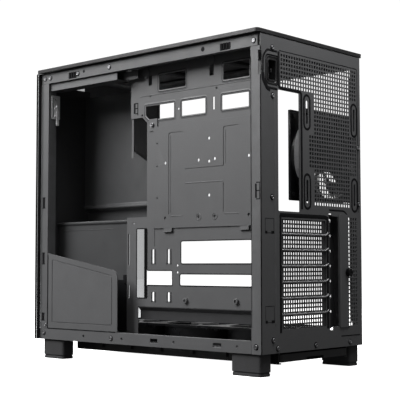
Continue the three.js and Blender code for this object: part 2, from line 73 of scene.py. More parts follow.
# ---- Places: inset from the cable side, forward of the rear wall, up from the desk, in mm ----
rear_low, rear_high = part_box("rear_panel")
SIDE_X, REAR_Y = rear_high.x, rear_high.y
WIDTH = (rear_high.x - rear_low.x) / MM


def place(inset, forward, up):
    return Vector((SIDE_X - inset * MM, REAR_Y - forward * MM, up * MM))


def side(a, b, c):
    """A plane parallel to the sides: a is forward, b is up, and c is the inset."""
    return place(c, a, b)


def rear(a, b, c):
    """A plane parallel to the rear wall: a is the inset, b is up, and c is forward."""
    return place(a, c, b)


def level(a, b, c):
    """A level plane: a is the inset, b is forward, and c is up."""
    return place(a, b, c)


def mirrored(plane):
    """The same plane, with its insets counted from the main side."""
    def turned(a, b, c):
        point = plane(a, b, c)
        return Vector((2 * SIDE_X - WIDTH * MM - point.x, point.y, point.z))
    return turned


BOTH_SIDES = (side, mirrored(side))


# ---- Outlines ----
def rect(a, b):
    return [(a[0], b[0]), (a[1], b[0]), (a[1], b[1]), (a[0], b[1])]


def circle(centre, radius, sides=24):
    angles = [2 * math.pi * i / sides for i in range(sides)]
    return [(centre[0] + radius * math.cos(t), centre[1] + radius * math.sin(t)) for t in angles]


def rounded(corners, radius, steps=4, closed=True):
    """The corners, each turned into a short arc."""
    count = len(corners)
    path = []
    for i, corner in enumerate(corners):
        if not closed and i in (0, count - 1):
            path.append(tuple(corner))
            continue
        here = Vector(corner)
        before = Vector(corners[i - 1]) - here
        after = Vector(corners[(i + 1) % count]) - here
        reach = min(radius, before.length * 0.45, after.length * 0.45)
        start = here + before.normalized() * reach
        end = here + after.normalized() * reach
        for step in range(steps + 1):
            t = step / steps
            point = start * (1 - t) ** 2 + here * 2 * t * (1 - t) + end * t ** 2
            path.append((point.x, point.y))
    return path


def bent(corners, radius, steps=4):
    """An open path with its corners rounded."""
    return rounded(corners, radius, steps, closed=False)


def round_rect(a, b, radius, steps=4):
    return rounded(rect(a, b), radius, steps)


def slot(centre, length, width, upright=True, steps=6):
    half = (length - width) / 2
    offset = (0, half) if upright else (half, 0)
    start = math.pi if upright else math.pi / 2
    path = []
    for sign, first in ((-1, start), (1, start + math.pi)):
        for step in range(steps + 1):
            t = first + math.pi * step / steps
            path.append((centre[0] + sign * offset[0] + width / 2 * math.cos(t),
                         centre[1] + sign * offset[1] + width / 2 * math.sin(t)))
    return path


def stroke(path, width):
    """The outline of a line of that width drawn along an open path."""
    left, right = [], []
    for i, point in enumerate(path):
        here = Vector(point)
        ahead = (Vector(path[min(i + 1, len(path) - 1)]) - Vector(path[max(i - 1, 0)])).normalized()
        across = Vector((-ahead.y, ahead.x)) * width / 2
        left.append(tuple(here + across))
        right.append(tuple(here - across))
    return left + right[::-1]


def shrunk(loop, distance):
    """A convex loop with every side moved inwards."""
    middle = sum((Vector(p) for p in loop), Vector((0, 0))) / len(loop)
    inner = []
    for i, point in enumerate(loop):
        here = Vector(point)
        normals = []
        for other in (loop[i - 1], loop[(i + 1) % len(loop)]):
            along = (Vector(other) - here).normalized()
            across = Vector((-along.y, along.x))
            normals.append(across if across.dot(middle - here) > 0 else -across)
        bisector = (normals[0] + normals[1]).normalized()
        inner.append(tuple(here + bisector * distance / max(0.5, bisector.dot(normals[0]))))
    return inner


def grid(a, b, pitch, size, keep=lambda x, y: True):
    """Square holes at a pitch, spread evenly over a field."""
    columns = int((a[1] - a[0]) / pitch) + 1
    rows = int((b[1] - b[0]) / pitch) + 1
    first_a = (a[0] + a[1] - (columns - 1) * pitch) / 2
    first_b = (b[0] + b[1] - (rows - 1) * pitch) / 2
    holes = []
    for i in range(columns):
        for j in range(rows):
            x, y = first_a + i * pitch, first_b + j * pitch
            if keep(x, y):
                holes.append(rect((x - size / 2, x + size / 2), (y - size / 2, y + size / 2)))
    return holes


def inside(point, loop):
    x, y = point
    found = False
    for (x0, y0), (x1, y1) in zip(loop, loop[1:] + loop[:1]):
        if (y0 > y) != (y1 > y) and x < (x1 - x0) * (y - y0) / (y1 - y0) + x0:
            found = not found
    return found


def triangulate(loops):
    """Triangles that fill the first loop and leave the others open."""
    flat, edges, owner = [], [], []
    for number, loop in enumerate(loops):
        first = len(flat)
        flat += [Vector(point) for point in loop]
        edges += [(first + i, first + (i + 1) % len(loop)) for i in range(len(loop))]
        owner += [number] * len(loop)
    result = delaunay_2d_cdt(flat, edges, [], 0, 1e-6)
    origins = [source[0] if source else None for source in result[3]]
    triangles = []
    for face in result[2]:
        corners = [origins[i] for i in face]
        if None in corners:
            continue
        owners = {owner[i] for i in corners}
        if len(owners) == 1:
            number = owners.pop()
            middle = sum((flat[i] for i in corners), Vector((0, 0))) / 3
            if inside(middle, [tuple(p) for p in loops[number]]) != (number == 0):
                continue
        triangles.append(tuple(corners))
    return flat, triangles


# ---- Meshes ----
class Build:
    """One piece's mesh, gathered from closed shapes."""

    def __init__(self):
        self.verts = []
        self.faces = []
        self.smooth = []
        self.soft = []

    def add(self, verts, faces, smooth=False, soft=()):
        first = len(self.verts)
        self.verts += verts
        self.faces += [tuple(first + i for i in face) for face in faces]
        self.smooth += [smooth] * len(faces)
        self.soft += [(first + a, first + b) for a, b in soft]
        return self

    def slab(self, plane, outline, holes, span, fine=()):
        """A flat sheet. Its outline and holes get softened edges, and its fine holes don't."""
        loops = [outline, *holes, *fine]
        flat, triangles = triangulate(loops)
        count = len(flat)
        verts = [plane(p.x, p.y, span[0]) for p in flat] + [plane(p.x, p.y, span[1]) for p in flat]
        faces = list(triangles) + [tuple(i + count for i in reversed(t)) for t in triangles]
        soft = []
        first = 0
        for number, loop in enumerate(loops):
            for i in range(len(loop)):
                p = first + i
                q = first + (i + 1) % len(loop)
                faces.append((p, p + count, q + count, q))
                if number <= len(holes):
                    soft += [(p, q), (p + count, q + count)]
            first += len(loop)
        return self.add(verts, faces, False, soft)

    def bar(self, plane, a, b, c):
        return self.slab(plane, rect(a, b), [], c)

    def bead(self, plane, path, surface, height, width, closed=False):
        """A pressed rib that stands height off the surface along a path."""
        half = width / 2
        sink = -0.2 if height > 0 else 0.2
        crest = half * 0.45
        profile = [(-half, sink), (-half, 0), (-crest, height), (crest, height), (half, 0), (half, sink)]
        count = len(path)
        verts = []
        for i, point in enumerate(path):
            here = Vector(point)
            before = here - Vector(path[i - 1]) if closed or i else Vector((0, 0))
            after = Vector(path[(i + 1) % count]) - here if closed or i < count - 1 else Vector((0, 0))
            ahead = (before.normalized() + after.normalized()).normalized()
            across = Vector((-ahead.y, ahead.x))
            for offset, rise in profile:
                spot = here + across * offset
                verts.append(plane(spot.x, spot.y, surface + rise))
        around = len(profile)
        faces = []
        for i in range(count if closed else count - 1):
            for k in range(around):
                p, q = i * around, ((i + 1) % count) * around
                faces.append((p + k, q + k, q + (k + 1) % around, p + (k + 1) % around))
        if not closed:
            faces.append(tuple(range(around)))
            faces.append(tuple(reversed(range((count - 1) * around, count * around))))
        return self.add(verts, faces)

    def lathe(self, plane, centre, profile, sides=28, smooth=True):
        """A turned shape: its profile is pairs of radius and height along the plane's normal."""
        verts = []
        for radius, height in profile:
            verts += [plane(a, b, height) for a, b in circle(centre, radius, sides)]
        faces = []
        for ring in range(len(profile) - 1):
            low, high = ring * sides, (ring + 1) * sides
            for i in range(sides):
                j = (i + 1) % sides
                faces.append((low + i, low + j, high + j, high + i))
        self.add(verts, faces, smooth)
        first = len(self.verts) - len(verts)
        last = len(self.verts) - sides
        self.faces += [tuple(range(first, first + sides)), tuple(range(last, last + sides))]
        self.smooth += [False, False]
        return self

    def shadow_disc(self, plane, a, b, surface, out, radius=3.0):
        """A dark disc round a screw head, painted shadow under its rim."""
        span = (surface + out * 0.12, surface - out * 0.1)
        return self.slab(plane, circle((a, b), radius * 1.45, 20), [], span)

    def screw(self, plane, a, b, surface, out, radius=3.0, height=1.5):
        """A pan-head screw with a cross recess. out is the sign of the way it faces."""
        rim = surface + out * height * 0.45
        top = surface + out * height
        self.lathe(plane, (a, b), [(radius, surface), (radius, rim), (radius * 0.97, rim)], 20)
        arm, reach = radius * 0.15, radius * 0.6
        cross = [(-arm, -reach), (arm, -reach), (arm, -arm), (reach, -arm), (reach, arm), (arm, arm),
                 (arm, reach), (-arm, reach), (-arm, arm), (-reach, arm), (-reach, -arm), (-arm, -arm)]
        hole = [(a + x, b + y) for x, y in cross]
        return self.slab(plane, circle((a, b), radius * 0.93, 20), [hole], (rim - out * 0.05, top))

    def piece(self, name, material, record_slot, stands_for=(), bevel=0.22, body="chassis"):
        """Makes the object, hangs it on its body and hides the CAD parts it stands for."""
        mesh = bpy.data.meshes.new(name)
        mesh.from_pydata([tuple(v) for v in self.verts], [], self.faces)
        mesh.polygons.foreach_set("use_smooth", self.smooth)
        work = bmesh.new()
        work.from_mesh(mesh)
        bmesh.ops.recalc_face_normals(work, faces=work.faces)
        work.edges.ensure_lookup_table()
        layer = work.edges.layers.float.new("bevel_weight_edge")
        soft = {frozenset(pair) for pair in self.soft}
        for edge in work.edges:
            if bevel and frozenset((edge.verts[0].index, edge.verts[1].index)) in soft:
                edge[layer] = 1.0
        work.to_mesh(mesh)
        work.free()
        mesh.set_sharp_from_angle(angle=math.radians(35))
        mesh.materials.append(material)
        obj = bpy.data.objects.new(name, mesh)
        bpy.context.scene.collection.objects.link(obj)
        if bevel and self.soft:
            modifier = obj.modifiers.new("edges", "BEVEL")
            modifier.limit_method = "WEIGHT"
            modifier.width = bevel * MM
            modifier.segments = 2
            modifier.use_clamp_overlap = True
        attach(obj, body)
        if stands_for:
            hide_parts(*stands_for)
        return obj


# ---- Materials ----
def fill(node, values):
    for socket, value in values.items():
        node.inputs[socket].default_value = value


class Nodes:
    """The nodes of a new material or world, with short calls to add and join them."""

    def __init__(self, owner, shader="Principled BSDF", space="Object"):
        owner.use_nodes = True
        self.owner = owner
        self.tree = owner.node_tree
        self.shader = self.tree.nodes[shader]
        self.space = self.node("ShaderNodeTexCoord").outputs[space]

    def node(self, kind, **settings):
        made = self.tree.nodes.new(kind)
        for key, value in settings.items():
            setattr(made, key, value)
        return made

    def join(self, source, target):
        self.tree.links.new(source, target)

    def finish(self, colour, roughness):
        self.join(colour, self.shader.inputs["Base Color"])
        self.join(roughness, self.shader.inputs["Roughness"])

    def noise(self, scale, detail=3.0, stretch=None):
        noise = self.node("ShaderNodeTexNoise")
        fill(noise, {"Scale": scale, "Detail": detail})
        space = self.space
        if stretch:
            mapping = self.node("ShaderNodeMapping")
            fill(mapping, {"Scale": stretch})
            self.join(space, mapping.inputs["Vector"])
            space = mapping.outputs["Vector"]
        self.join(space, noise.inputs["Vector"])
        return noise.outputs["Fac"]

    def ramp(self, value, low, high):
        """Maps a noise's middle range to low..high."""
        mapped = self.node("ShaderNodeMapRange")
        fill(mapped, {"From Min": 0.3, "From Max": 0.7, "To Min": low, "To Max": high})
        self.join(value, mapped.inputs["Value"])
        return mapped.outputs["Result"]

    def math(self, operation, first, second):
        made = self.node("ShaderNodeMath", operation=operation)
        for socket, value in zip(made.inputs, (first, second)):
            if isinstance(value, (int, float)):
                socket.default_value = value
            else:
                self.join(value, socket)
        return made.outputs["Value"]

    def mix(self, factor, first, second):
        made = self.node("ShaderNodeMix", data_type="RGBA")
        self.join(factor, made.inputs["Factor"])
        for socket, value in ((made.inputs["A"], first), (made.inputs["B"], second)):
            if isinstance(value, tuple):
                socket.default_value = (*value, 1.0)
            else:
                self.join(value, socket)
        return made.outputs["Result"]

    def bump(self, height, strength, distance):
        made = self.node("ShaderNodeBump")
        fill(made, {"Strength": strength, "Distance": distance})
        self.join(height, made.inputs["Height"])
        self.join(made.outputs["Normal"], self.shader.inputs["Normal"])

    def edges(self):
        """1 along outer edges, where a finish wears first."""
        ramp = self.node("ShaderNodeMapRange")
        fill(ramp, {"From Min": 0.52, "From Max": 0.6})
        self.join(self.node("ShaderNodeNewGeometry").outputs["Pointiness"], ramp.inputs["Value"])
        return ramp.outputs["Result"]


def tint(colour, factor):
    return tuple(min(1.0, c * factor) for c in colour)


def finish_material(name, colour, roughness, grain, bump, metallic=0.0, wear=1.5, spread=0.12, specular=0.5):
    """Paint or moulded plastic: cloudy colour, uneven gloss, a fine grain and paler edges."""
    n = Nodes(bpy.data.materials.new(name))
    cloud = n.mix(n.noise(9.0, 5.0), tint(colour, 1 - spread), tint(colour, 1 + spread))
    speck = n.mix(n.ramp(n.noise(grain * 0.6, 2.0), 0.0, 0.35), cloud, tint(colour, 1.5))
    worn = n.math("MULTIPLY", n.edges(), n.ramp(n.noise(60.0, 4.0), 0.1, 0.8))
    gloss = n.ramp(n.noise(35.0, 4.0), roughness - 0.07, roughness + 0.07)
    n.finish(n.mix(worn, speck, tint(colour, wear)), gloss)
    fill(n.shader, {"Metallic": metallic, "Specular IOR Level": specular})
    n.bump(n.noise(grain, 2.0), bump, 0.0002)
    return n.owner


def brushed_material(name, colour, roughness):
    n = Nodes(bpy.data.materials.new(name))
    streaks = n.noise(400.0, 3.0, (1.0, 1.0, 18.0))
    gloss = n.ramp(streaks, roughness - 0.08, roughness + 0.1)
    n.finish(n.mix(streaks, tint(colour, 0.75), tint(colour, 1.15)), gloss)
    fill(n.shader, {"Metallic": 1.0})
    n.bump(streaks, 0.12, 0.0001)
    return n.owner


def woven_material(name, colour):
    """Fine nylon mesh: threads both ways, darker in the gaps between them."""
    n = Nodes(bpy.data.materials.new(name))
    apart = n.node("ShaderNodeSeparateXYZ")
    n.join(n.space, apart.inputs["Vector"])
    threads = []
    thread_turns = 2 * math.pi / (0.9 * MM)
    for axis in ("X", "Y"):
        wave = n.math("SINE", n.math("MULTIPLY", apart.outputs[axis], thread_turns), 0.0)
        threads.append(n.math("ABSOLUTE", wave, 0.0))
    weave = n.math("MAXIMUM", threads[0], threads[1])
    cloud = n.mix(n.noise(14.0, 4.0), tint(colour, 0.8), tint(colour, 1.3))
    n.finish(n.mix(weave, tint(colour, 0.25), cloud), n.ramp(n.noise(50.0, 3.0), 0.6, 0.8))
    n.bump(weave, 0.5, 0.0002)
    return n.owner


def glass_material(name, colour):
    n = Nodes(bpy.data.materials.new(name))
    fill(n.shader, {"Base Color": (*colour, 1.0), "Transmission Weight": 1.0, "IOR": 1.5})
    n.join(n.ramp(n.noise(12.0, 5.0), 0.0, 0.035), n.shader.inputs["Roughness"])
    return n.owner


def board_material(name):
    """Solder mask with copper tracks showing through as paler lines."""
    n = Nodes(bpy.data.materials.new(name))
    green = (0.012, 0.035, 0.02)
    track = n.node("ShaderNodeTexBrick")
    fill(track, {"Scale": 220.0, "Mortar Size": 0.04})
    n.join(n.space, track.inputs["Vector"])
    cloud = n.mix(n.noise(80.0, 3.0), tint(green, 0.8), tint(green, 1.3))
    gloss = n.ramp(n.noise(90.0, 2.0), 0.3, 0.45)
    n.finish(n.mix(track.outputs["Fac"], cloud, (0.06, 0.11, 0.05)), gloss)
    n.bump(track.outputs["Fac"], 0.3, 0.0001)
    return n.owner


def steel(name, colour, roughness=0.5, bump=0.3, **rest):
    return finish_material(name, colour, roughness, 2600.0, bump, **rest)


def screw_metal(name, colour, roughness, metallic, wear):
    return finish_material(name, colour, roughness, 1800.0, 0.15, metallic, wear)


def pale_plastic(name, colour, roughness):
    return finish_material(name, colour, roughness, 1200.0, 0.15, wear=1.1, spread=0.05)


STEEL = steel("steel_powder_coat", (0.115, 0.116, 0.119))
# A darker copy of the steel powder coat for the slot covers: painted shade for the recess they sit in.
SHADED_COVER_STEEL = steel("steel_slot_cover_painted_shade", (0.05, 0.05, 0.052))
# A darker copy of the steel powder coat for inner and tucked-away parts: painted shade for the dimness inside
# the case.
SHADED_STEEL = steel("steel_painted_shade", (0.035, 0.035, 0.037))
# A paler copy of the steel for the slot ribs: painted highlight where the rib crests catch the light.
HIGHLIGHT_STEEL = steel("steel_painted_highlight", (0.42, 0.42, 0.43), 0.4, 0.2, wear=1.3)
# Near-black steel with little shine, laid as thin strips, discs and beads: painted shadow in creases, gaps,
# holes and under screw heads.
PAINTED_SHADOW = steel("steel_crease_shadow", (0.008, 0.008, 0.009), 0.7, wear=1.2, specular=0.15)
BAY_PLASTIC = finish_material("plastic_bay_walls", (0.07, 0.071, 0.073), 0.36, 1500.0, 0.2,
                              wear=1.25, spread=0.06)
PLASTIC = finish_material("plastic_black", (0.022, 0.022, 0.023), 0.42, 1500.0, 0.35)
FAN_PLASTIC = finish_material("plastic_fan", (0.022, 0.022, 0.024), 0.33, 900.0, 0.12, wear=1.3)
FAN_BLADE = finish_material("plastic_fan_blade", (0.03, 0.03, 0.032), 0.28, 700.0, 0.08, wear=1.3)
PALE_PLASTIC = pale_plastic("plastic_pale", (0.85, 0.85, 0.86), 0.45)
# Pale plastic for the half-moon on the rear fan: painted light for the lit duct.
PAINTED_LIGHT_PLASTIC = pale_plastic("plastic_painted_light", (0.5, 0.5, 0.51), 0.5)
RUBBER = finish_material("rubber_foot", (0.055, 0.055, 0.057), 0.8, 1200.0, 0.5, specular=0.3)
SCREW = screw_metal("screw_black_zinc", (0.34, 0.34, 0.35), 0.3, 0.9, 2.0)
BLACK_SCREW = screw_metal("screw_black_oxide", (0.012, 0.012, 0.013), 0.35, 0.5, 2.5)
MESH = woven_material("nylon_mesh", (0.06, 0.06, 0.062))
GLASS = glass_material("tinted_glass", (0.40, 0.405, 0.41))
GLASS_BORDER = finish_material("glass_printed_border", (0.012, 0.012, 0.013), 0.2, 600.0, 0.03, wear=1.2)
PLATED = brushed_material("plated_steel", (0.55, 0.55, 0.56), 0.3)
BOARD = board_material("circuit_board")

SHEET = 1.0
FLOOR_UP = 28.0
RAIL_UP = 44.0
FRAME_FRONT = 428.7
TOP_RAIL_UP = 412.0
TOP_RAIL_TOP = 426.9

# ---- Rear wall ----
SLOT_COUNT = 7
SLOT_PITCH = 20.32
TOP_SLOT_UP = 187.5
MESH_PITCH = 5.5
MESH_HOLE = 3.6
INLET = [(14.5, 372), (17, 369.4), (32.6, 369.4), (32.6, 397.6), (17, 397.6), (14.5, 395)]


def slot_up(index):
    return TOP_SLOT_UP - index * SLOT_PITCH


def rear_panel():
    b = Build()
    notch = [(0, 376), (3.4, 377), (4, 380), (4, 399), (2.4, 405), (0, 406)]
    outline = [(0, FLOOR_UP), *notch, (0, TOP_RAIL_TOP), (WIDTH, TOP_RAIL_TOP), (WIDTH, FLOOR_UP)]
    recess = rounded([
        (143, 56), (144.5, 56), (144.5, 51.5), (151.5, 51.5), (151.5, 56), (165, 56), (165, 203),
        (149.5, 203), (149.5, 206.6), (143, 206.6),
    ], 0.6)
    openings = [
        round_rect((35, 79), (206, 360), 1.5),
        recess,
        rounded([(9, 368), (13, 364), (35, 364), (35, 403), (13, 403), (9, 399)], 1.5),
        circle((184, 128), 2.3, 16),
    ]
    for index in range(SLOT_COUNT):
        openings.append(round_rect((41.5, 136), (slot_up(index) - 8.6, slot_up(index) + 8.6), 1.5))
    screw_slots = [(96, 337.5), (96, 233.5), (204.5, 337.5), (204.5, 233.5)]
    openings += [slot(centre, 31, 4.4) for centre in screw_slots]

    def meshed(a, up):
        if up > 366:
            return True
        clear = all(abs(a - x) > 8.5 or abs(up - y) > 24 for x, y in screw_slots)
        return clear and a > (98 if abs(up - 286) < 24 else 110)

    fine = grid((42, 208), (216, 407), MESH_PITCH, MESH_HOLE, meshed)
    fine += grid((190, 207), (56, 202), MESH_PITCH, MESH_HOLE)
    b.slab(rear, outline, openings, (0, SHEET), fine)
    b.bead(rear, [(28, 64), (28, 349)], 0, -0.6, 3.2)
    for plane in BOTH_SIDES:
        b.bar(plane, (0, 16), (FLOOR_UP, 375), (0, SHEET))
        b.bar(plane, (4, 16), (374.9, 406), (0, SHEET))
        b.bar(plane, (0, 16), (405.9, TOP_RAIL_UP - 0.3), (0, SHEET))
        b.bar(plane, (15, 16), (60, 400), (0, 5))
    b.piece("rear_panel_punched", STEEL, "chassis_steel", ["rear_panel"])

    # The slot ribs, in the paler steel: a painted highlight along their crests.
    b = Build()
    for index in range(SLOT_COUNT - 1):
        middle = slot_up(index) - SLOT_PITCH / 2
        rib = bent([(41, middle), (136, middle), (140.5, middle + 3.2)], 2.5, 4)
        b.bead(rear, rib, -0.3, -0.9, 1.7)
    b.piece("rear_panel_slot_ribs", HIGHLIGHT_STEEL, "chassis_steel")

    # Painted shadow in the creases where the sheet is pressed: dark beads stand for their shade.
    b = Build()
    for centre in screw_slots:
        b.bead(rear, slot(centre, 45, 13), 0, -0.35, 3.4, closed=True)
    creases = [  # path, corner radius, surface, height, width
        ([(36.6, 409), (36.6, 362.6), (84, 362.6), (84, 210)], 5, 0, -0.4, 4.4),
        ([(213, 210), (213, 410.5), (38, 410.5)], 4, 0, -0.3, 1.2),
        ([(33, 408), (13, 408.5), (5.4, 399), (4.6, 372), (12, 360.5), (33, 360)], 4, 0, -0.4, 3.0),
        ([(4.6, 378), (5.4, 370), (13, 359.5), (19, 358)], 3, -0.1, -0.4, 6),
        ([(144, 211), (179, 211), (187.6, 205), (187.6, 53)], 5, 0, -0.3, 2.4),
        ([(37.5, 200.8), (134, 201), (141, 199)], 4, 0, -0.3, 5.5),
        ([(38.6, 53), (38.6, 201)], 0, 0, -0.3, 4.2),
        ([(139.6, 54), (139.6, 199)], 0, 0, -0.2, 5.2),
        ([(170, 42.5), (214, 42.5)], 0, 0, -0.3, 1.4),
    ]
    for path, radius, surface, height, width in creases:
        b.bead(rear, bent(path, radius), surface, height, width)
    b.piece("rear_panel_crease_shadows", PAINTED_SHADOW, "inner_steel")


def slot_cover(index):
    b = Build()
    middle = slot_up(index)
    half = SLOT_PITCH / 2 - 0.15
    holes = [rect((a - 1.5, a + 1.5), (up - 1.65, up + 1.65))
             for a in [48 + 4.95 * k for k in range(17)]
             for up in (middle - MESH_PITCH, middle, middle + MESH_PITCH)]
    b.slab(rear, rect((37, 146.5), (middle - half, middle + half)), [], (1.3, 2.3), holes)
    b.bar(level, (146, 147), (1.3, 11.7), (middle - half, middle + half))
    hole = round_rect((151, 155), (middle - 2, middle + 2), 1)
    tab = [(146, middle - half), (155, middle - half), (160, middle - half + 4), (160, middle + half - 4),
           (155, middle + half), (146, middle + half)]
    b.slab(rear, rounded(tab, 1.5), [hole], (10.7, 11.7))
    b.bead(rear, [(138, middle - 6), (138, middle + 6)], 1.3, -0.5, 2)
    name = f"slot_cover_{index + 1}"
    b.piece(f"{name}_punched", SHADED_COVER_STEEL, "chassis_steel", [name])


def rear_fittings():
    b = Build()
    holes = [circle((162, slot_up(i) + 9.9), 2.5, 12) for i in range(SLOT_COUNT)]
    b.slab(rear, rect((158, 171), (54, 206)), holes, (12.1, 13.1))
    b.bar(level, (171, 172), (1.3, 13.1), (54, 206))
    b.piece("slot_ledge_tapped", SHADED_STEEL, "chassis_steel", ["slot_ledge"])

    b = Build()
    lug = [(186, 120), (189.5, 123), (189.5, 133), (186, 136)]
    outline = rounded([(166, 54), (186, 54), *lug, (186, 206), (166, 206)], 2)
    b.slab(rear, outline, [circle((184, 128), 2.3, 16)], (-1.3, -0.3))
    b.bead(rear, [(168.5, 58), (168.5, 202)], -1.3, -0.5, 1.6)
    b.piece("slot_lock_plate_pressed", STEEL, "chassis_steel", ["slot_lock_plate"])

    slot_thumbscrew()

    b = Build()
    outline = [(4, 349), (33.4, 349), (33.4, 361), (40, 361), (40, 410), (4, 410)]
    b.slab(rear, rounded(outline, 3), [shrunk(INLET, -0.6)], (1.3, 2.3))
    b.bead(rear, rounded(shrunk(INLET, -3), 2), 1.3, -0.8, 1.6, closed=True)
    b.piece("inlet_bracket_pressed", SHADED_STEEL, "inner_steel", ["inlet_bracket"])

    b = Build()
    cavity = shrunk(INLET, 1.6)
    b.slab(rear, INLET, [cavity], (0.3, 26))
    b.slab(rear, shrunk(INLET, 0.4), [], (17, 18.6))
    for a, up in ((21, 376.5), (21, 390.5), (26.5, 383.5)):
        b.bar(rear, (a - 0.9, a + 0.9), (up - 2.1, up + 2.1), (4, 17.4))
    b.piece("power_inlet_socket", PLASTIC, "black_plastic", ["power_inlet"])

    screws, shadow_discs = Build(), Build()
    places = [
        (24, 412), (24, 351), (22, 222.8), (23, 44.5), (32, 34), (112, 34), (190, 34), (214, 222), (214, 300),
    ]
    for inset, up in places:
        screws.screw(rear, inset, up, 0, -1, 2.7, 1.6)
        # Dark discs under the screws: painted shadow.
        shadow_discs.shadow_disc(rear, inset, up, 0, -1, 2.7)
    screws.piece("rear_screws", SCREW, "black_screw")
    shadow_discs.piece("rear_screw_shadow_discs", PAINTED_SHADOW, "inner_steel")


def slot_thumbscrew():
    """A thumbscrew with a ridged rim and a slit in its face."""
    centre, radius, teeth = (184, 128), 5.5, 30
    head_back, head_face, thread_end = -1.6, -7, 4.4
    ridges = []
    for i in range(teeth * 2):
        reach = radius if i % 2 else radius * 0.93
        angle = math.pi * i / teeth
        ridges.append((centre[0] + reach * math.cos(angle), centre[1] + reach * math.sin(angle)))
    rim_face = head_face + 1.2
    b = Build()
    b.slab(rear, ridges, [], (rim_face, head_back))
    arm, reach = radius * 0.14, radius * 0.6
    slit = rect((centre[0] - reach, centre[0] + reach), (centre[1] - arm, centre[1] + arm))
    b.slab(rear, circle(centre, radius * 0.86), [slit], (head_face, rim_face + 0.05))
    b.lathe(rear, centre, [(2.0, head_back - 0.1), (2.0, thread_end)], 16)
    b.piece("slot_thumbscrew_knurled", BLACK_SCREW, "black_screw", ["slot_thumbscrew"])


# ---- Tray, drive plate and gusset ----
# The board's nine holes. The lower middle one stands 4 mm forward of its column.
STANDOFFS = [
    *[(16.5, up) for up in (213.5, 328, 372)],
    *[(140.5, up) for up in (328, 372)],
    *[(219, up) for up in (213.5, 328, 372)],
    (144.5, 213.5),
]
DRIVE_SCREW = (214.5, 333.5)


def motherboard_tray():
    b = Build()
    face, back = 26.0, 27.0
    outline = [
        (2, 29.3), (38, 29.3), (38, 80), (244, 80), (244, 29.3), (267, 29.3), (267, 205), (226.6, 205),
        (226.6, 338), (236, 346), (259.5, 346), (259.5, 416), (30, 416), (30, 345), (2, 345),
    ]
    rims = [
        round_rect((150, 205), (379, 405), 4),
        round_rect((37, 86), (379, 405), 4),
        round_rect((114, 161), (339, 363), 3),
        round_rect((38.5, 88), (340, 363), 3),
        rounded([(172, 339), (222, 339), (231, 347), (231, 363), (172, 363)], 2),
    ]
    plain = [
        round_rect((36, 161), (139.5, 170.5), 3),
        round_rect((36, 163), (110, 126), 3),
        rounded([
            (247, 92), (247, 189), (226, 189), (226, 130.5), (177, 130.5), (177, 110), (226, 110), (226, 92),
        ], 2),
        round_rect((95, 200), (222, 322), 8),
        rect((99.5, 102.5), (344, 361)),
        rect((34, 43), (275, 282)),
        circle(DRIVE_SCREW, 2.3, 16),
    ]
    ties = [(214, 150, 20), (184, 150, 20), (214, 94.5, 13), (184, 94.5, 13)]
    edge_ties = [(263, 159.5, 45), (263, 100.5, 19)]
    tie_slots = [slot((forward, up), length, 4) for forward, up, length in ties]
    tie_slots += [slot((forward, up), length, 3) for forward, up, length in edge_ties]
    pins = [(165.5, 351.5), (236.5, 349.1), (167.5, 137.5), (167.5, 128), (253, 197), (220, 375), (96, 372)]
    hook_slots = [round_rect((217, 223.5), (390, 404), 1), round_rect((101, 108.5), (390, 405), 1)]
    pin_holes = [circle(pin, 1.5, 12) for pin in pins]
    b.slab(side, outline, [*rims, *plain, *tie_slots, *pin_holes, *hook_slots], (face, back))
    for rim in rims:
        b.bead(side, rim, face, -0.4, 4.4, closed=True)
    for forward, up, length in ties:
        for lip in (forward + 3.6, forward - 3.6):
            b.bead(side, [(lip, up - length / 2), (lip, up + length / 2)], face, -1.2, 3.4)
    for forward, up in ((228, 408), (105, 411)):
        b.lathe(side, (forward, up), [(7, face), (6.4, face - 1.6), (2.6, face - 2.2)], 24)
    boss = [(4.2, face), (3.6, face - 3.0), (2.0, face - 3.2), (1.9, face - 1.5)]
    for centre in ((151.8, 90.4), (62.3, 91.2)):
        b.lathe(side, centre, boss, 24)
    b.bead(side, [(211.6, 318), (211.6, 165)], face, -0.6, 1.4)
    b.bead(side, bent([(240, 376), (30, 376)], 2), face, -0.5, 1.6)
    b.bar(level, (27, 36), (30, 259), (415, 416))
    b.bar(rear, (27, 34), (205, 345), (225.6, 226.6))
    for standoff in STANDOFFS:
        b.lathe(side, standoff, [(5.2, back), (4.4, back + 1.2)], 20)
    b.piece("motherboard_tray_pressed", STEEL, "chassis_steel", ["motherboard_tray"])

    b = Build()
    fold = [(face, 80.4), (back, 80.4), (32, 75), (32, 62), (31, 62), (31, 74.6), (face, 79.4)]
    b.slab(rear, fold, [], (38, 244))
    b.piece("motherboard_tray_foot_fold", SHADED_STEEL, "inner_steel")

    # Dark beads along the rims and openings: painted shade at their edges.
    b = Build()
    for rim in (*rims, *plain[:3]):
        b.bead(side, rim, face, -0.5, 1.5, closed=True)
    b.piece("motherboard_tray_rim_shadows", PAINTED_SHADOW, "inner_steel")

    b = Build()
    thread = [(2.9, back), (2.9, back + 6.5), (1.5, back + 6.5), (1.5, back + 4.5)]
    for standoff in STANDOFFS:
        b.lathe(side, standoff, thread, 6, False)
    b.piece("motherboard_standoffs", PLATED, "plated_port")


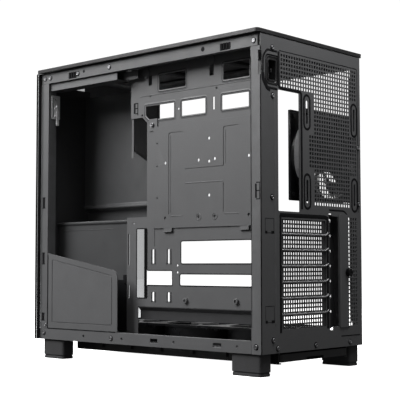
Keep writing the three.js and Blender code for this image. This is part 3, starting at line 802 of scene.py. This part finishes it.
def drive_plate():
    b = Build()
    face, back = 24.5, 25.7
    outline = rounded([
        (36.5, 188.5), (212.5, 188.5), (212.5, 325), (222, 325), (222, 342), (205, 342), (205, 330),
        (36.5, 330),
    ], 1.5)
    holes = [circle((forward, up), 2, 16) for forward in (189.5, 127.4, 98.5, 40.1) for up in (278.3, 202.3)]
    holes += [circle((108.5, up), 2, 16) for up in (306.2, 275.5, 230.4)]
    holes += [circle((205.1, up), 1.2, 12) for up in (306.7, 274.6, 230.8)]
    holes.append(circle(DRIVE_SCREW, 2.3, 16))
    lines = [
        [(157, 318.8), (182.2, 318.8), (182.2, 207.5)],
        [(57, 319), (82.4, 319), (82.4, 267.3), (151, 267.3)],
        [(82.8, 245.5), (82.8, 207.2)],
    ]
    slits = [stroke(bent(line, 3, 5), 1.9) for line in lines]
    b.slab(side, outline, [*holes, *slits], (face, back - 0.5))
    b.slab(side, outline, holes, (back - 0.6, back))
    ribs = [
        [(84, 248), (151, 248.6)],
        [(179, 205), (157, 205)],
        [(81, 205.2), (57, 205)],
        [(179.5, 315), (179.5, 210)],
        [(79.5, 315), (79.5, 271)],
    ]
    for rib in ribs:
        b.bead(side, rib, face, -0.45, 1.6)
    for forward, up in ((127.4, 202.3), (98.5, 202.3)):
        b.bead(side, circle((forward, up), 4.4, 20), face, -0.4, 1.2, closed=True)
    for low, high in ((176, 192.4), (39.5, 55.4)):
        b.bar(side, (low, high), (183.6, 188.6), (face + 0.2, back))
        b.bar(side, (low, low + 2), (183.6, 188.6), (face - 1.4, back))
        b.bar(level, (face - 1.4, back), (low, high), (183, 184))
    b.piece("drive_plate_pressed", STEEL, "chassis_steel", ["drive_plate"])

    b = Build()
    b.screw(side, *DRIVE_SCREW, 24.2, -1, 3.2, 2.0)
    b.lathe(side, DRIVE_SCREW, [(2.0, 24.1), (2.0, 28.2)], 16)
    b.piece("drive_plate_screw_pan", SCREW, "black_screw", ["drive_plate_screw"])


def tray_gusset():
    b = Build()
    outline = [(27.3, 416), (83.7, 416), (83.7, 276), (27.3, 302)]
    b.slab(rear, outline, [], (258.5, 259.5))
    b.bead(rear, shrunk(outline, 4), 258.5, -0.4, 1.2, closed=True)
    b.bar(side, (255, 259.5), (290, 416), (27.3, 28.3))
    b.piece("tray_gusset_pressed", STEEL, "chassis_steel", ["tray_gusset"])


# ---- Cable bay ----
def bay_walls():
    b = Build()
    outer = bent([(84, 400), (84, 231), (81, 228), (81, 225), (92, 221.5), (92, 202.8)], 3.2, 6)
    inner = rounded([(85.5, 400), (85.5, 230.4), (82.5, 227.4), (82.5, 226.2), (93.5, 222.9), (93.5, 202.8)],
                    2.4, 6, closed=False)
    b.slab(rear, outer + inner[::-1], [], (259.8, 423.7))
    b.bar(level, (84, 88), (262, 421), (398.6, 399.8))
    b.piece("bay_upper_wall_moulded", BAY_PLASTIC, "black_plastic", ["bay_upper_wall"])

    b = Build()
    outer = bent([(30, 29.3), (30, 197), (28, 199), (28, 202.5), (92, 202.5)], 2.0, 6)
    inner = bent([(31.5, 29.3), (31.5, 201), (92, 201)], 1.2, 6)
    b.slab(rear, outer + inner[::-1], [], (268, 423.7))
    b.bead(side, [(300, 190), (420, 190)], 30, -0.3, 1)
    b.piece("bay_lower_wall_moulded", BAY_PLASTIC, "black_plastic", ["bay_lower_wall"])


def bay_cover():
    b = Build()
    outline = rounded([(259, 44.3), (411.7, 44.3), (411.7, 156), (268, 131), (262, 128.6), (259, 122)], 2.5)
    line_outer = rounded([(269.5, 53), (401, 53), (401, 146.5), (269.5, 123.5)], 3)
    line_inner = rounded([(270.8, 54.3), (399.7, 54.3), (399.7, 144.9), (270.8, 122.3)], 3)
    b.slab(side, outline, [], (0.65, 1.2))
    b.slab(side, outline, [line_outer], (0, 0.7))
    b.slab(side, line_inner, [], (0.1, 0.7))
    b.bar(level, (1.1, 9), (265, 408), (44.3, 45.3))
    b.piece("bay_cover_folded", STEEL, "chassis_steel", ["bay_cover"])
    # Dark strips in the gaps round the cover, and a dark plate on the lower wall behind it: painted shadow.
    b = Build()
    for forward, up in (((409.4, 411.8), (44.4, 154)), ((262, 411), (43.4, 45.2))):
        b.bar(side, forward, up, (-0.08, 0.5))
    b.bar(side, (268.2, 301), (46, 117), (27.4, 29.9))
    b.bar(side, (268.2, 274), (112, 124), (25.5, 29.9))
    b.piece("bay_cover_gap_shadows", PAINTED_SHADOW, "inner_steel")


def front_corner():
    b = Build()
    holes = [round_rect((8, 10), (362, 392), 0.8), circle((13, 389), 1.4, 12)]
    b.slab(rear, round_rect((5, 21), (359, 395), 1.5), holes, (410.5, 411.7))
    b.piece("front_corner_bracket_pressed", PALE_PLASTIC, "chassis_steel", ["front_corner_bracket"])
    b = Build()
    b.slab(rear, rounded([(12.5, 349), (16.5, 349), (16.5, 380), (12.5, 380)], 1.2), [], (407.5, 410.2))
    b.bar(rear, (9.5, 12.6), (362, 365), (408.5, 410.2))
    b.bar(rear, (9.5, 12.6), (374, 377), (408.5, 410.2))
    b.piece("front_corner_clip_moulded", PALE_PLASTIC, "pale_plastic", ["front_corner_clip"])


# ---- Floor, roof, rails, post, front wall ----
FLOOR_FANS = ("floor_fan_1", "floor_fan_2", "floor_fan_3")
FLOOR_FAN_INSET = 132
FAN_CORNERS = [(a, b) for a in (-52.5, 52.5) for b in (-52.5, 52.5)]


def fan_forward(name):
    low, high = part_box(f"{name}_frame")
    return (REAR_Y - (low.y + high.y) / 2) / MM


def floor_plate():
    b = Build()
    outline = rect((1.3, 218.7), (1.3, FRAME_FRONT))
    holes = [rounded(rect((37, 44), span), 3) for span in ((76, 123), (177, 232))]
    for name in FLOOR_FANS:
        middle = fan_forward(name)
        holes.append(circle((FLOOR_FAN_INSET, middle), 55, 48))
        for a, forward in FAN_CORNERS:
            holes.append(slot((FLOOR_FAN_INSET + a, middle + forward), 9, 4.4))
    holes += [circle((inset, forward), 2.2, 12) for inset in (14, 206) for forward in (28, 401)]
    vents = grid((14, 32), (70, 240), 9, 4)
    b.slab(level, outline, holes, (FLOOR_UP, FLOOR_UP + SHEET), vents)
    slots = [round_rect((66, 80), (33, 39), 1), round_rect((180, 194), (33, 39), 1)]
    holes = [circle((forward, 36), 1.8, 14) for forward in (40, 150, 250, 330)]
    for plane in BOTH_SIDES:
        b.slab(plane, rect((16.3, FRAME_FRONT), (FLOOR_UP, RAIL_UP)), [*slots, *holes], (0, SHEET))
        b.bar(plane, (16.3, FRAME_FRONT), (FLOOR_UP, FLOOR_UP + SHEET), (0.5, 1.6))
        b.bar(plane, (20, 256), (RAIL_UP - 0.9, RAIL_UP), (0.8, 6))
    b.slab(rear, rect((1.6, 218.4), (FLOOR_UP, RAIL_UP)), [], (FRAME_FRONT - SHEET, FRAME_FRONT))
    b.piece("floor_plate_pressed", STEEL, "chassis_steel", ["floor_plate"])


def roof_plate():
    b = Build()
    up = 427.2
    vent_starts = (40, 162, 284)
    holes = [rect((4.5, 21), (286, 412))]
    for forward in vent_starts:
        holes.append(round_rect((55, 180), (forward, forward + 112), 12))
        for a in (46, 189):
            holes += [slot((a, forward + offset), 26, 4.2) for offset in (18, 56, 94)]
    vents = grid((28, 38), (40, 380), 9, 4)
    b.slab(level, rect((1.3, 218.7), (1.3, FRAME_FRONT)), holes, (up, up + SHEET), vents)
    for forward in vent_starts:
        b.bead(level, round_rect((53, 182), (forward - 2, forward + 114), 13), up, -1.4, 2.4, closed=True)
    b.bar(rear, (86, 212), (400, up + SHEET), (FRAME_FRONT - SHEET, FRAME_FRONT))
    b.piece("roof_plate_pressed", STEEL, "chassis_steel", ["roof_plate"])


CLIPS_TOP = (357.0, 58.0)
POST_SLOTS = ((224, 239), (140, 156), (56, 66))


def top_rail(name, plane, record_name):
    b = Build()
    holes = [round_rect((middle - 9, middle + 9), (413.6, 422.6), 1) for middle in CLIPS_TOP]
    holes += [circle((332, 421), 2, 14), circle((97, 420), 2.4, 14)]
    b.slab(plane, rect((4.6, FRAME_FRONT), (TOP_RAIL_UP, TOP_RAIL_TOP)), holes, (0, SHEET))
    section = [(0.6, TOP_RAIL_UP), (7, TOP_RAIL_UP), (7, TOP_RAIL_UP + SHEET), (0.6, TOP_RAIL_UP + SHEET)]

    b.slab(lambda a, up, c: plane(c, up, a), section, [], (4.6, FRAME_FRONT))
    b.piece(name, STEEL, "chassis_steel", [record_name])


def front_frame():
    top_rail("top_rail_cable_side_pressed", side, "top_rail_cable_side")
    top_rail("top_rail_main_side_pressed", mirrored(side), "top_rail_main_side")

    b = Build()
    holes = [round_rect((418.5, 424), span, 1) for span in POST_SLOTS]
    b.slab(side, rect((412, 428), (44.3, 411.7)), holes, (0, SHEET))
    b.bar(level, (0.8, 15), (412, 413), (44.3, 411.7))
    b.piece("front_post_pressed", STEEL, "chassis_steel", ["front_post"])

    b = Build()
    outline = rect((2, 94), (29.3, 411.7))
    b.slab(rear, outline, [slot((20, 120 + 90 * k), 16, 4) for k in range(3)], (424, 425))
    b.bead(rear, shrunk(outline, 9), 424, -0.5, 2, closed=True)
    b.piece("front_wall_pressed", SHADED_STEEL, "inner_steel", ["front_wall"])


def panel_clips_and_shadows():
    """Spring clips that hold the side panels, seen as dark combs in their slots, with dark outlines and bars
    by other slots and recesses. All are in the near-black painted shadow, which stands for the shade in and
    round those slots.
    """
    b = Build()
    for plane in BOTH_SIDES:
        for middle in CLIPS_TOP:
            for offset in (-7, -2.6, 2.6, 7):
                b.bar(plane, (middle + offset - 1.3, middle + offset + 1.3), (413.4, 423), (-0.1, 4))
            b.bar(plane, (middle - 9, middle + 9), (413.7, 422.5), (1.2, 4.2))
            b.bar(plane, (middle - 8.6, middle + 8.6), (413.4, 415), (-0.1, 2))
    for low, high in POST_SLOTS:
        b.bar(side, (418.2, 424.2), (low - 0.5, high + 0.5), (0.3, 2.4))
        b.bar(side, (417.6, 424.8), (low - 1, low + 0.6), (-0.1, 2.4))
        b.bar(side, (417.6, 424.8), (high - 0.6, high + 1), (-0.1, 2.4))
    for plane in BOTH_SIDES:
        b.bar(plane, (1.4, 2.8), (219, 241), (-0.1, 1.8))
        b.bar(plane, (6.6, 9.6), (221, 239), (-0.1, 1.8))
        for up in (219, 229.3, 239.6):
            b.bar(plane, (2.6, 8), (up, up + 1.4), (-0.1, 1.8))
    for low, high in ((178, 196), (67, 87)):
        b.bead(rear, rect((8, 25), (low, high)), 0, -0.25, 0.8, closed=True)
        for inset in ((8, 12), (20, 26)):
            b.bar(rear, inset, (low - 1, low + 2.4), (-0.2, 0.2))
    b.bar(side, (244.5, 246), (350, 368), (25.7, 26.2))
    b.bar(side, (250, 253.4), (353, 368), (25.7, 26.2))
    for up in (352, 359.5, 366.6):
        b.bar(side, (245.8, 250.2), (up, up + 1.4), (25.7, 26.2))
    b.piece("panel_clips_and_shadows", PAINTED_SHADOW, "black_plastic")


def side_screws():
    screws, shadow_discs = Build(), Build()
    spots = [(420, 420), (408, 420), (345, 419), (277, 420), (10.6, 419), (271, 35.5), (418.6, 37.4), (9, 37)]
    for plane in BOTH_SIDES:
        for forward, up in spots:
            screws.screw(plane, forward, up, 0, -1, 2.7, 1.3)
            # Dark discs under the screws: painted shadow.
            shadow_discs.shadow_disc(plane, forward, up, 0, -1, 2.7)
        # Dark discs at the two rail holes: painted shade inside the holes.
        shadow_discs.shadow_disc(plane, 97, 420, 0, -1, 2.2)
        shadow_discs.shadow_disc(plane, 332, 421, 0, -1, 1.6)
    screws.screw(side, 415.4, 49.5, 0, -1, 2.2, 1.0)
    screws.piece("side_screws", SCREW, "black_screw")
    shadow_discs.piece("side_screw_shadow_discs", PAINTED_SHADOW, "inner_steel")


# ---- Glass, top panel, filter, ports and buttons ----
IO_INSET = 12.7
AUDIO_FORWARD = 361
RESET_FORWARD = 376
POWER_FORWARD = 396
TOP_WINDOWS = [(38 + 121 * k, 150 + 121 * k) for k in range(3)]


def port_outline(forward, half_width, half_length, radius, steps):
    across = (IO_INSET - half_width, IO_INSET + half_width)
    return round_rect(across, (forward - half_length, forward + half_length), radius, steps)


def rear_view_spans(name, margin=0.0):
    """A node's inset span and up span, in mm, each end brought in by the margin."""
    low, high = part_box(name)
    inset = ((SIDE_X - high.x) / MM + margin, (SIDE_X - low.x) / MM - margin)
    return inset, (low.z / MM + margin, high.z / MM - margin)


def front_glass():
    b = Build()
    b.slab(rear, round_rect(*rear_view_spans("front_glass"), 1.5), [], (429, 433))
    b.piece("front_glass_pane", GLASS, "front_glass", ["front_glass"], bevel=0.5)

    b = Build()
    window = round_rect(*rear_view_spans("front_glass", 7.0), 4)
    b.slab(rear, rect(*rear_view_spans("front_glass", 0.6)), [window], (428.86, 428.98))
    b.piece("front_glass_border", GLASS_BORDER, "front_glass", bevel=0)


def top_panel():
    b = Build()
    outline = round_rect((-6.4, 226.4), (-0.5, 433), 5, 6)
    holes = [
        round_rect((39.7, 190.3), (29.7, 400.3), 6),
        *[port_outline(forward, 3.2, 7.1, 0.6, 4) for forward in (300, 323)],
        port_outline(346, 2, 4.9, 1.9, 4),
        circle((IO_INSET, AUDIO_FORWARD), 3.5, 24),
        circle((IO_INSET, RESET_FORWARD), 3.1, 24),
        circle((IO_INSET, POWER_FORWARD), 7.5, 40),
    ]
    b.slab(level, outline, holes, (428.5, 433.5))
    b.piece("top_panel_moulded", PLASTIC, "black_plastic", ["top_panel"], bevel=0.6)

    b = Build()
    frame_holes = [round_rect((47, 183), span, 4) for span in TOP_WINDOWS]
    b.slab(level, round_rect((40, 190), (30, 400), 6), frame_holes, (428.8, 433))
    b.piece("top_dust_filter_frame", PLASTIC, "dust_mesh", ["top_dust_filter"])
    b = Build()
    for low, high in TOP_WINDOWS:
        mesh_holes = grid((50, 180), (low + 3, high - 3), 4.0, 2.6)
        b.slab(level, rect((46.5, 183.5), (low - 0.5, high + 0.5)), [], (431.4, 432), mesh_holes)
        b.bar(level, (46.5, 183.5), (low - 0.5, high + 0.5), (430.9, 431.1))
    b.piece("top_dust_filter_mesh", MESH, "dust_mesh", bevel=0)


def ports():
    b = Build()
    section = [(4, 401), (24, 401), (24, 426), (23, 426), (23, 402), (5, 402), (5, 411.5), (4, 411.5)]
    b.slab(rear, section, [], (265, 411.3))
    b.bar(rear, (17, 18), (401, 412), (236, 265))
    b.piece("port_channel_folded", STEEL, "chassis_steel", ["port_channel"])

    b = Build()
    b.bar(level, (11.9, 13.5), (290, 406), (404, 417))
    for forward in (304, 318, 333, 352, 369, 384):
        b.bar(level, (13.5, 15.2), (forward - 2, forward + 2), (408, 412))
    b.piece("port_board_populated", BOARD, "circuit_board", ["port_board"])

    sockets = [  # node, forward, half width, half length, corner radius, half tongue
        ("usb_a_port_1", 300, 2.9, 6.8, 0.5, 0.9),
        ("usb_a_port_2", 323, 2.9, 6.8, 0.5, 0.9),
        ("usb_c_port", 346, 1.7, 4.6, 1.6, 0.4),
    ]
    for node, forward, width, length, radius, tongue in sockets:
        b = Build()
        outer = port_outline(forward, width, length, radius, 6)
        inner = port_outline(forward, width - 0.4, length - 0.4, radius * 0.8, 6)
        b.slab(level, outer, [inner], (421, 433.2))
        b.slab(level, outer, [], (417.3, 421.1))
        reach = length - 1.6
        b.bar(level, (IO_INSET - tongue, IO_INSET + tongue), (forward - reach, forward + reach), (420, 431.7))
        b.piece(f"{node}_shell", PLATED, "plated_port", [node], bevel=0.1)

    b = Build()
    b.lathe(level, (IO_INSET, AUDIO_FORWARD), [(3.2, 417.3), (3.2, 433.1), (1.8, 433.1), (1.8, 420.3)], 32)
    b.piece("audio_jack_ring", PLASTIC, "black_plastic", ["audio_jack"])

    b = Build()
    cap = [(7, 421), (7, 432.6), (6.6, 433.1), (5.6, 433.2), (5.0, 432.9), (0.8, 432.7)]
    b.lathe(level, (IO_INSET, POWER_FORWARD), cap, 48)
    b.piece("power_button_cap", PLASTIC, "black_plastic", ["power_button"], body="power_button")

    b = Build()
    cap = [(2.6, 421), (2.6, 432.8), (2.2, 433.2), (0.4, 433.0)]
    b.lathe(level, (IO_INSET, RESET_FORWARD), cap, 32)
    b.piece("reset_button_cap", PLASTIC, "black_plastic", ["reset_button"], body="reset_button")


# ---- Fans ----
FAN_HALF = 60.0
FAN_DEPTH = 25.0
FAN_BORE = 57.5
HUB = 20.0
BLADES = 9


def fan_plane(name):
    """Local a and b across the fan, and c from its strut side to its intake side, in mm."""
    low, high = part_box(f"{name}_frame")
    middle = (low + high) / 2
    if name == "rear_fan":
        return lambda a, b, c: Vector((middle.x - a * MM, high.y - c * MM, middle.z + b * MM))
    return lambda a, b, c: Vector((middle.x - a * MM, middle.y - b * MM, high.z - c * MM))


def fan(name):
    plane = fan_plane(name)
    b = Build()
    square = round_rect((-FAN_HALF, FAN_HALF), (-FAN_HALF, FAN_HALF), 1.5, 4)
    bore = circle((0, 0), FAN_BORE, 72)
    corner_holes = [circle(corner, 2.15, 16) for corner in FAN_CORNERS]
    for span in ((0, 3.6), (FAN_DEPTH - 3.6, FAN_DEPTH)):
        b.slab(plane, square, [bore, *corner_holes], span)
    b.slab(plane, circle((0, 0), 59.3, 72), [bore], (3.4, FAN_DEPTH - 3.4))
    for corner in FAN_CORNERS:
        b.lathe(plane, corner, [(3.6, 3.5), (3.6, 6.5)], 16)
        b.lathe(plane, corner, [(3.6, FAN_DEPTH - 6.5), (3.6, FAN_DEPTH - 3.5)], 16)
    b.lathe(plane, (0, 0), [(HUB + 1, 0.6), (HUB + 1, 3), (HUB - 1, 3.6)], 48)
    b.lathe(plane, (0, 0), [(HUB - 3, 0.1), (HUB - 3, 1)], 48)
    for k in range(4):
        turn = math.radians(90 * k + 22.5)
        reaches = ((0, HUB), (0.12, 40), (0.3, FAN_BORE + 1))
        strut = [(math.cos(turn + lag) * reach, math.sin(turn + lag) * reach) for lag, reach in reaches]
        b.slab(plane, stroke(strut, 4), [], (0.3, 2.8))
    b.piece(f"{name}_frame_moulded", FAN_PLASTIC, "fan_plastic", [f"{name}_frame"], bevel=0.4)

    b = Build()
    hub = [(HUB, 4), (HUB, 21.2), (HUB - 1.6, 22.4), (HUB - 9, 22.45), (2, 22.2)]
    b.lathe(plane, (0, 0), hub, 56)
    for k in range(BLADES):
        blade(b, plane, 2 * math.pi * k / BLADES)
    rotor = f"{name}_rotor"
    b.piece(f"{rotor}_bladed", FAN_BLADE, "fan_plastic", [rotor], bevel=0, body=rotor)


def rear_fan_painted_light():
    """The pale half-moon in the rear fan's cable side: painted light standing for the lit curve of the fan's
    duct.
    """
    low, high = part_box("rear_fan_frame")
    middle_up = low.z / MM + FAN_HALF
    edge = (SIDE_X - high.x) / MM
    turns = [math.pi * k / 16 for k in range(17)]
    moon = [(5.5 + 11.5 * math.sin(t), middle_up - 34 * math.cos(t)) for t in turns]
    b = Build()
    b.slab(side, moon, [], (edge - 0.15, edge + 0.4))
    b.piece("rear_fan_side_painted_light", PAINTED_LIGHT_PLASTIC, "fan_plastic")


def blade(b, plane, turn):
    """One swept and twisted blade, thicker at its middle."""
    rows, columns = 9, 9
    middle_height = 13.2
    tip = 55.6
    skins = []
    for face in (-1, 1):
        for i in range(rows):
            t = i / (rows - 1)
            radius = HUB - 0.6 + (tip - HUB) * t
            pitch = math.radians(38 - 14 * t)
            chord = 22 + 21 * t
            sweep = 0.42 * t ** 1.5
            for j in range(columns):
                s = j / (columns - 1) - 0.5
                along = s * chord
                camber = 2.0 * (1 - 4 * s * s)
                thick = 0.75 * math.sqrt(max(0.0, 1 - 4 * s * s)) + 0.12
                angle = turn + sweep + along * math.cos(pitch) / radius
                height = middle_height + along * math.sin(pitch) * 0.8 + camber + face * thick
                height = min(22.3, max(4.2, height))
                skins.append(plane(radius * math.cos(angle), radius * math.sin(angle), height))
    size = rows * columns
    faces = []
    for i in range(rows - 1):
        for j in range(columns - 1):
            p = i * columns + j
            quad = (p, p + 1, p + columns + 1, p + columns)
            faces += [quad, tuple(size + v for v in reversed(quad))]
    rim = list(range(columns)) + [i * columns + columns - 1 for i in range(1, rows)]
    rim += [(rows - 1) * columns + j for j in range(columns - 2, -1, -1)]
    rim += [i * columns for i in range(rows - 2, 0, -1)]
    for p, q in zip(rim, rim[1:] + rim[:1]):
        faces.append((q, p, p + size, q + size))
    b.add(skins, faces, True)


# ---- Underside ----
FILTER_INSET = (43, 188)
FILTER_WINDOWS = [(10 + 125.4 * k, 10 + 125.4 * k + 123) for k in range(3)]


def bottom_filter():
    b = Build()
    outline = round_rect(FILTER_INSET, (4, 390), 4)
    windows = [round_rect((49, 182), window, 3) for window in FILTER_WINDOWS]
    b.slab(level, outline, windows, (15.5, 17.5))
    b.slab(level, outline, [round_rect((46, 185), (7, 387), 3)], (17.4, 25.5))
    b.slab(level, round_rect((95, 136), (4.0, 12), 2), [], (16, 19.5))
    for low, _ in FILTER_WINDOWS:
        middle = low + 61.5
        b.bar(level, (49, 182), (middle - 0.8, middle + 0.8), (15.6, 17.2))
    b.bar(level, (114.7, 116.3), (10, 384), (15.6, 17.2))
    body = "bottom_dust_filter"
    b.piece("bottom_dust_filter_frame", PLASTIC, "dust_mesh", [body], body=body)

    b = Build()
    for low, _ in FILTER_WINDOWS:
        mesh_holes = grid((51, 180), (low + 2, low + 121), 5.0, 3.4)
        b.slab(level, rect((48.6, 182.4), (low - 0.4, low + 123.4)), [], (16.5, 16.9), mesh_holes)
        b.bar(level, (48.6, 182.4), (low - 0.4, low + 123.4), (16.2, 16.4))
    b.piece("bottom_dust_filter_mesh", MESH, "dust_mesh", bevel=0, body=body)


def runners_and_feet():
    middle = sum(FILTER_INSET) / 2
    edge = FILTER_INSET[0] - 0.8
    section = [
        (edge - 1.5, 13), (edge + 4, 13), (edge + 4, 14.5), (edge, 14.5), (edge, 27.7), (edge - 1.5, 27.7),
    ]
    rib = (edge - 5, edge - 1.3)
    other_section = [(2 * middle - a, up) for a, up in section]
    other_rib = (2 * middle - rib[1], 2 * middle - rib[0])
    for name, outline, across in (("filter_runner_cable_side", section, rib),
                                  ("filter_runner_main_side", other_section, other_rib)):
        b = Build()
        b.slab(rear, outline, [], (6, 390))
        for forward in range(30, 390, 60):
            b.bar(level, across, (forward, forward + 1.6), (18, 27.7))
        b.piece(f"{name}_ribbed", PLASTIC, "black_plastic", [name])

    for name in [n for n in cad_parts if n.startswith("foot_")]:
        low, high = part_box(name)
        a, _ = rear_view_spans(name)
        forward = ((REAR_Y - high.y) / MM, (REAR_Y - low.y) / MM)
        b = Build()
        layers = [(0.0, (5.2, high.z / MM)), (1.0, (3.2, 5.4)), (0.5, (0.0, 3.4))]
        for inset, span in layers:
            across = (a[0] + inset, a[1] - inset)
            b.slab(level, round_rect(across, (forward[0] + inset, forward[1] - inset), 5), [], span)
        b.piece(f"{name}_pad", RUBBER, "foot_rubber", [name], bevel=0.7)


# ---- Light and floor ----
def light(name, spot, aim, size, power):
    data = bpy.data.lights.new(name, "AREA")
    data.shape = "RECTANGLE"
    data.size, data.size_y = size
    data.energy = power
    lamp = bpy.data.objects.new(name, data)
    turn = (Vector(aim) - Vector(spot)).to_track_quat("-Z", "Y").to_matrix().to_4x4()
    lamp.matrix_world = Matrix.Translation(spot) @ turn
    lamp.visible_camera = False
    bpy.context.scene.collection.objects.link(lamp)


BACKGROUND = 1.05  # how bright the floor and the backdrop show to the camera


def studio():
    scene = bpy.context.scene
    scene.view_settings.view_transform = "Standard"
    world = bpy.data.worlds.new("studio")
    scene.world = world
    n = Nodes(world, "Background", "Generated")
    apart = n.node("ShaderNodeSeparateXYZ")
    n.join(n.space, apart.inputs["Vector"])
    glow = n.node("ShaderNodeMapRange")
    fill(glow, {"From Min": -1.0, "From Max": 1.0, "To Min": 0.015, "To Max": 0.2})
    n.join(apart.outputs["Z"], glow.inputs["Value"])
    path = n.node("ShaderNodeLightPath")
    seen = n.math("MAXIMUM", path.outputs["Is Camera Ray"], path.outputs["Is Transmission Ray"])
    strength = n.node("ShaderNodeMix")
    n.join(seen, strength.inputs["Factor"])
    n.join(glow.outputs["Result"], strength.inputs["A"])
    fill(strength, {"B": BACKGROUND})
    n.join(strength.outputs["Result"], n.shader.inputs["Strength"])
    fill(n.shader, {"Color": (1.0, 1.0, 1.0, 1.0)})

    light("side_softbox", (1.02, -0.66, 1.18), (0.0, 0.03, 0.38), (0.9, 0.9), 27.5)
    light("rear_softbox", (0.03, 0.43, 0.78), (0.02, 0.2, 0.44), (0.45, 0.2), 2.2)
    light("top_softbox", (0.3, 0.0, 2.2), (0.0, 0.0, 0.4), (1.5, 1.5), 14.0)
    light("main_side_softbox", (-1.5, -0.4, 1.1), (0.0, 0.0, 0.25), (1.4, 1.2), 22.0)

    mesh = bpy.data.meshes.new("floor")
    reach = 6.0
    corners = [(x, y, 0) for x, y in rect((-reach, reach), (-reach, reach))]
    mesh.from_pydata(corners, [], [(0, 1, 2, 3)])
    floor = bpy.data.objects.new("floor", mesh)
    scene.collection.objects.link(floor)
    n = Nodes(bpy.data.materials.new("floor_white"))
    n.join(n.mix(n.noise(2.0, 2.0), (0.9, 0.9, 0.9), (0.92, 0.92, 0.92)), n.shader.inputs["Base Color"])
    white = (1.0, 1.0, 1.0, 1.0)
    fill(n.shader, {"Roughness": 0.9, "Emission Color": white, "Emission Strength": BACKGROUND})
    mesh.materials.append(n.owner)
    floor.visible_diffuse = False
    floor.visible_glossy = False
    floor.visible_shadow = False


rear_panel()
for cover in range(SLOT_COUNT):
    slot_cover(cover)
rear_fittings()
motherboard_tray()
drive_plate()
tray_gusset()
bay_walls()
bay_cover()
front_corner()
floor_plate()
roof_plate()
front_frame()
panel_clips_and_shadows()
side_screws()
front_glass()
top_panel()
ports()
for fan_name in ("rear_fan", *FLOOR_FANS):
    fan(fan_name)
rear_fan_painted_light()
bottom_filter()
runners_and_feet()
studio()
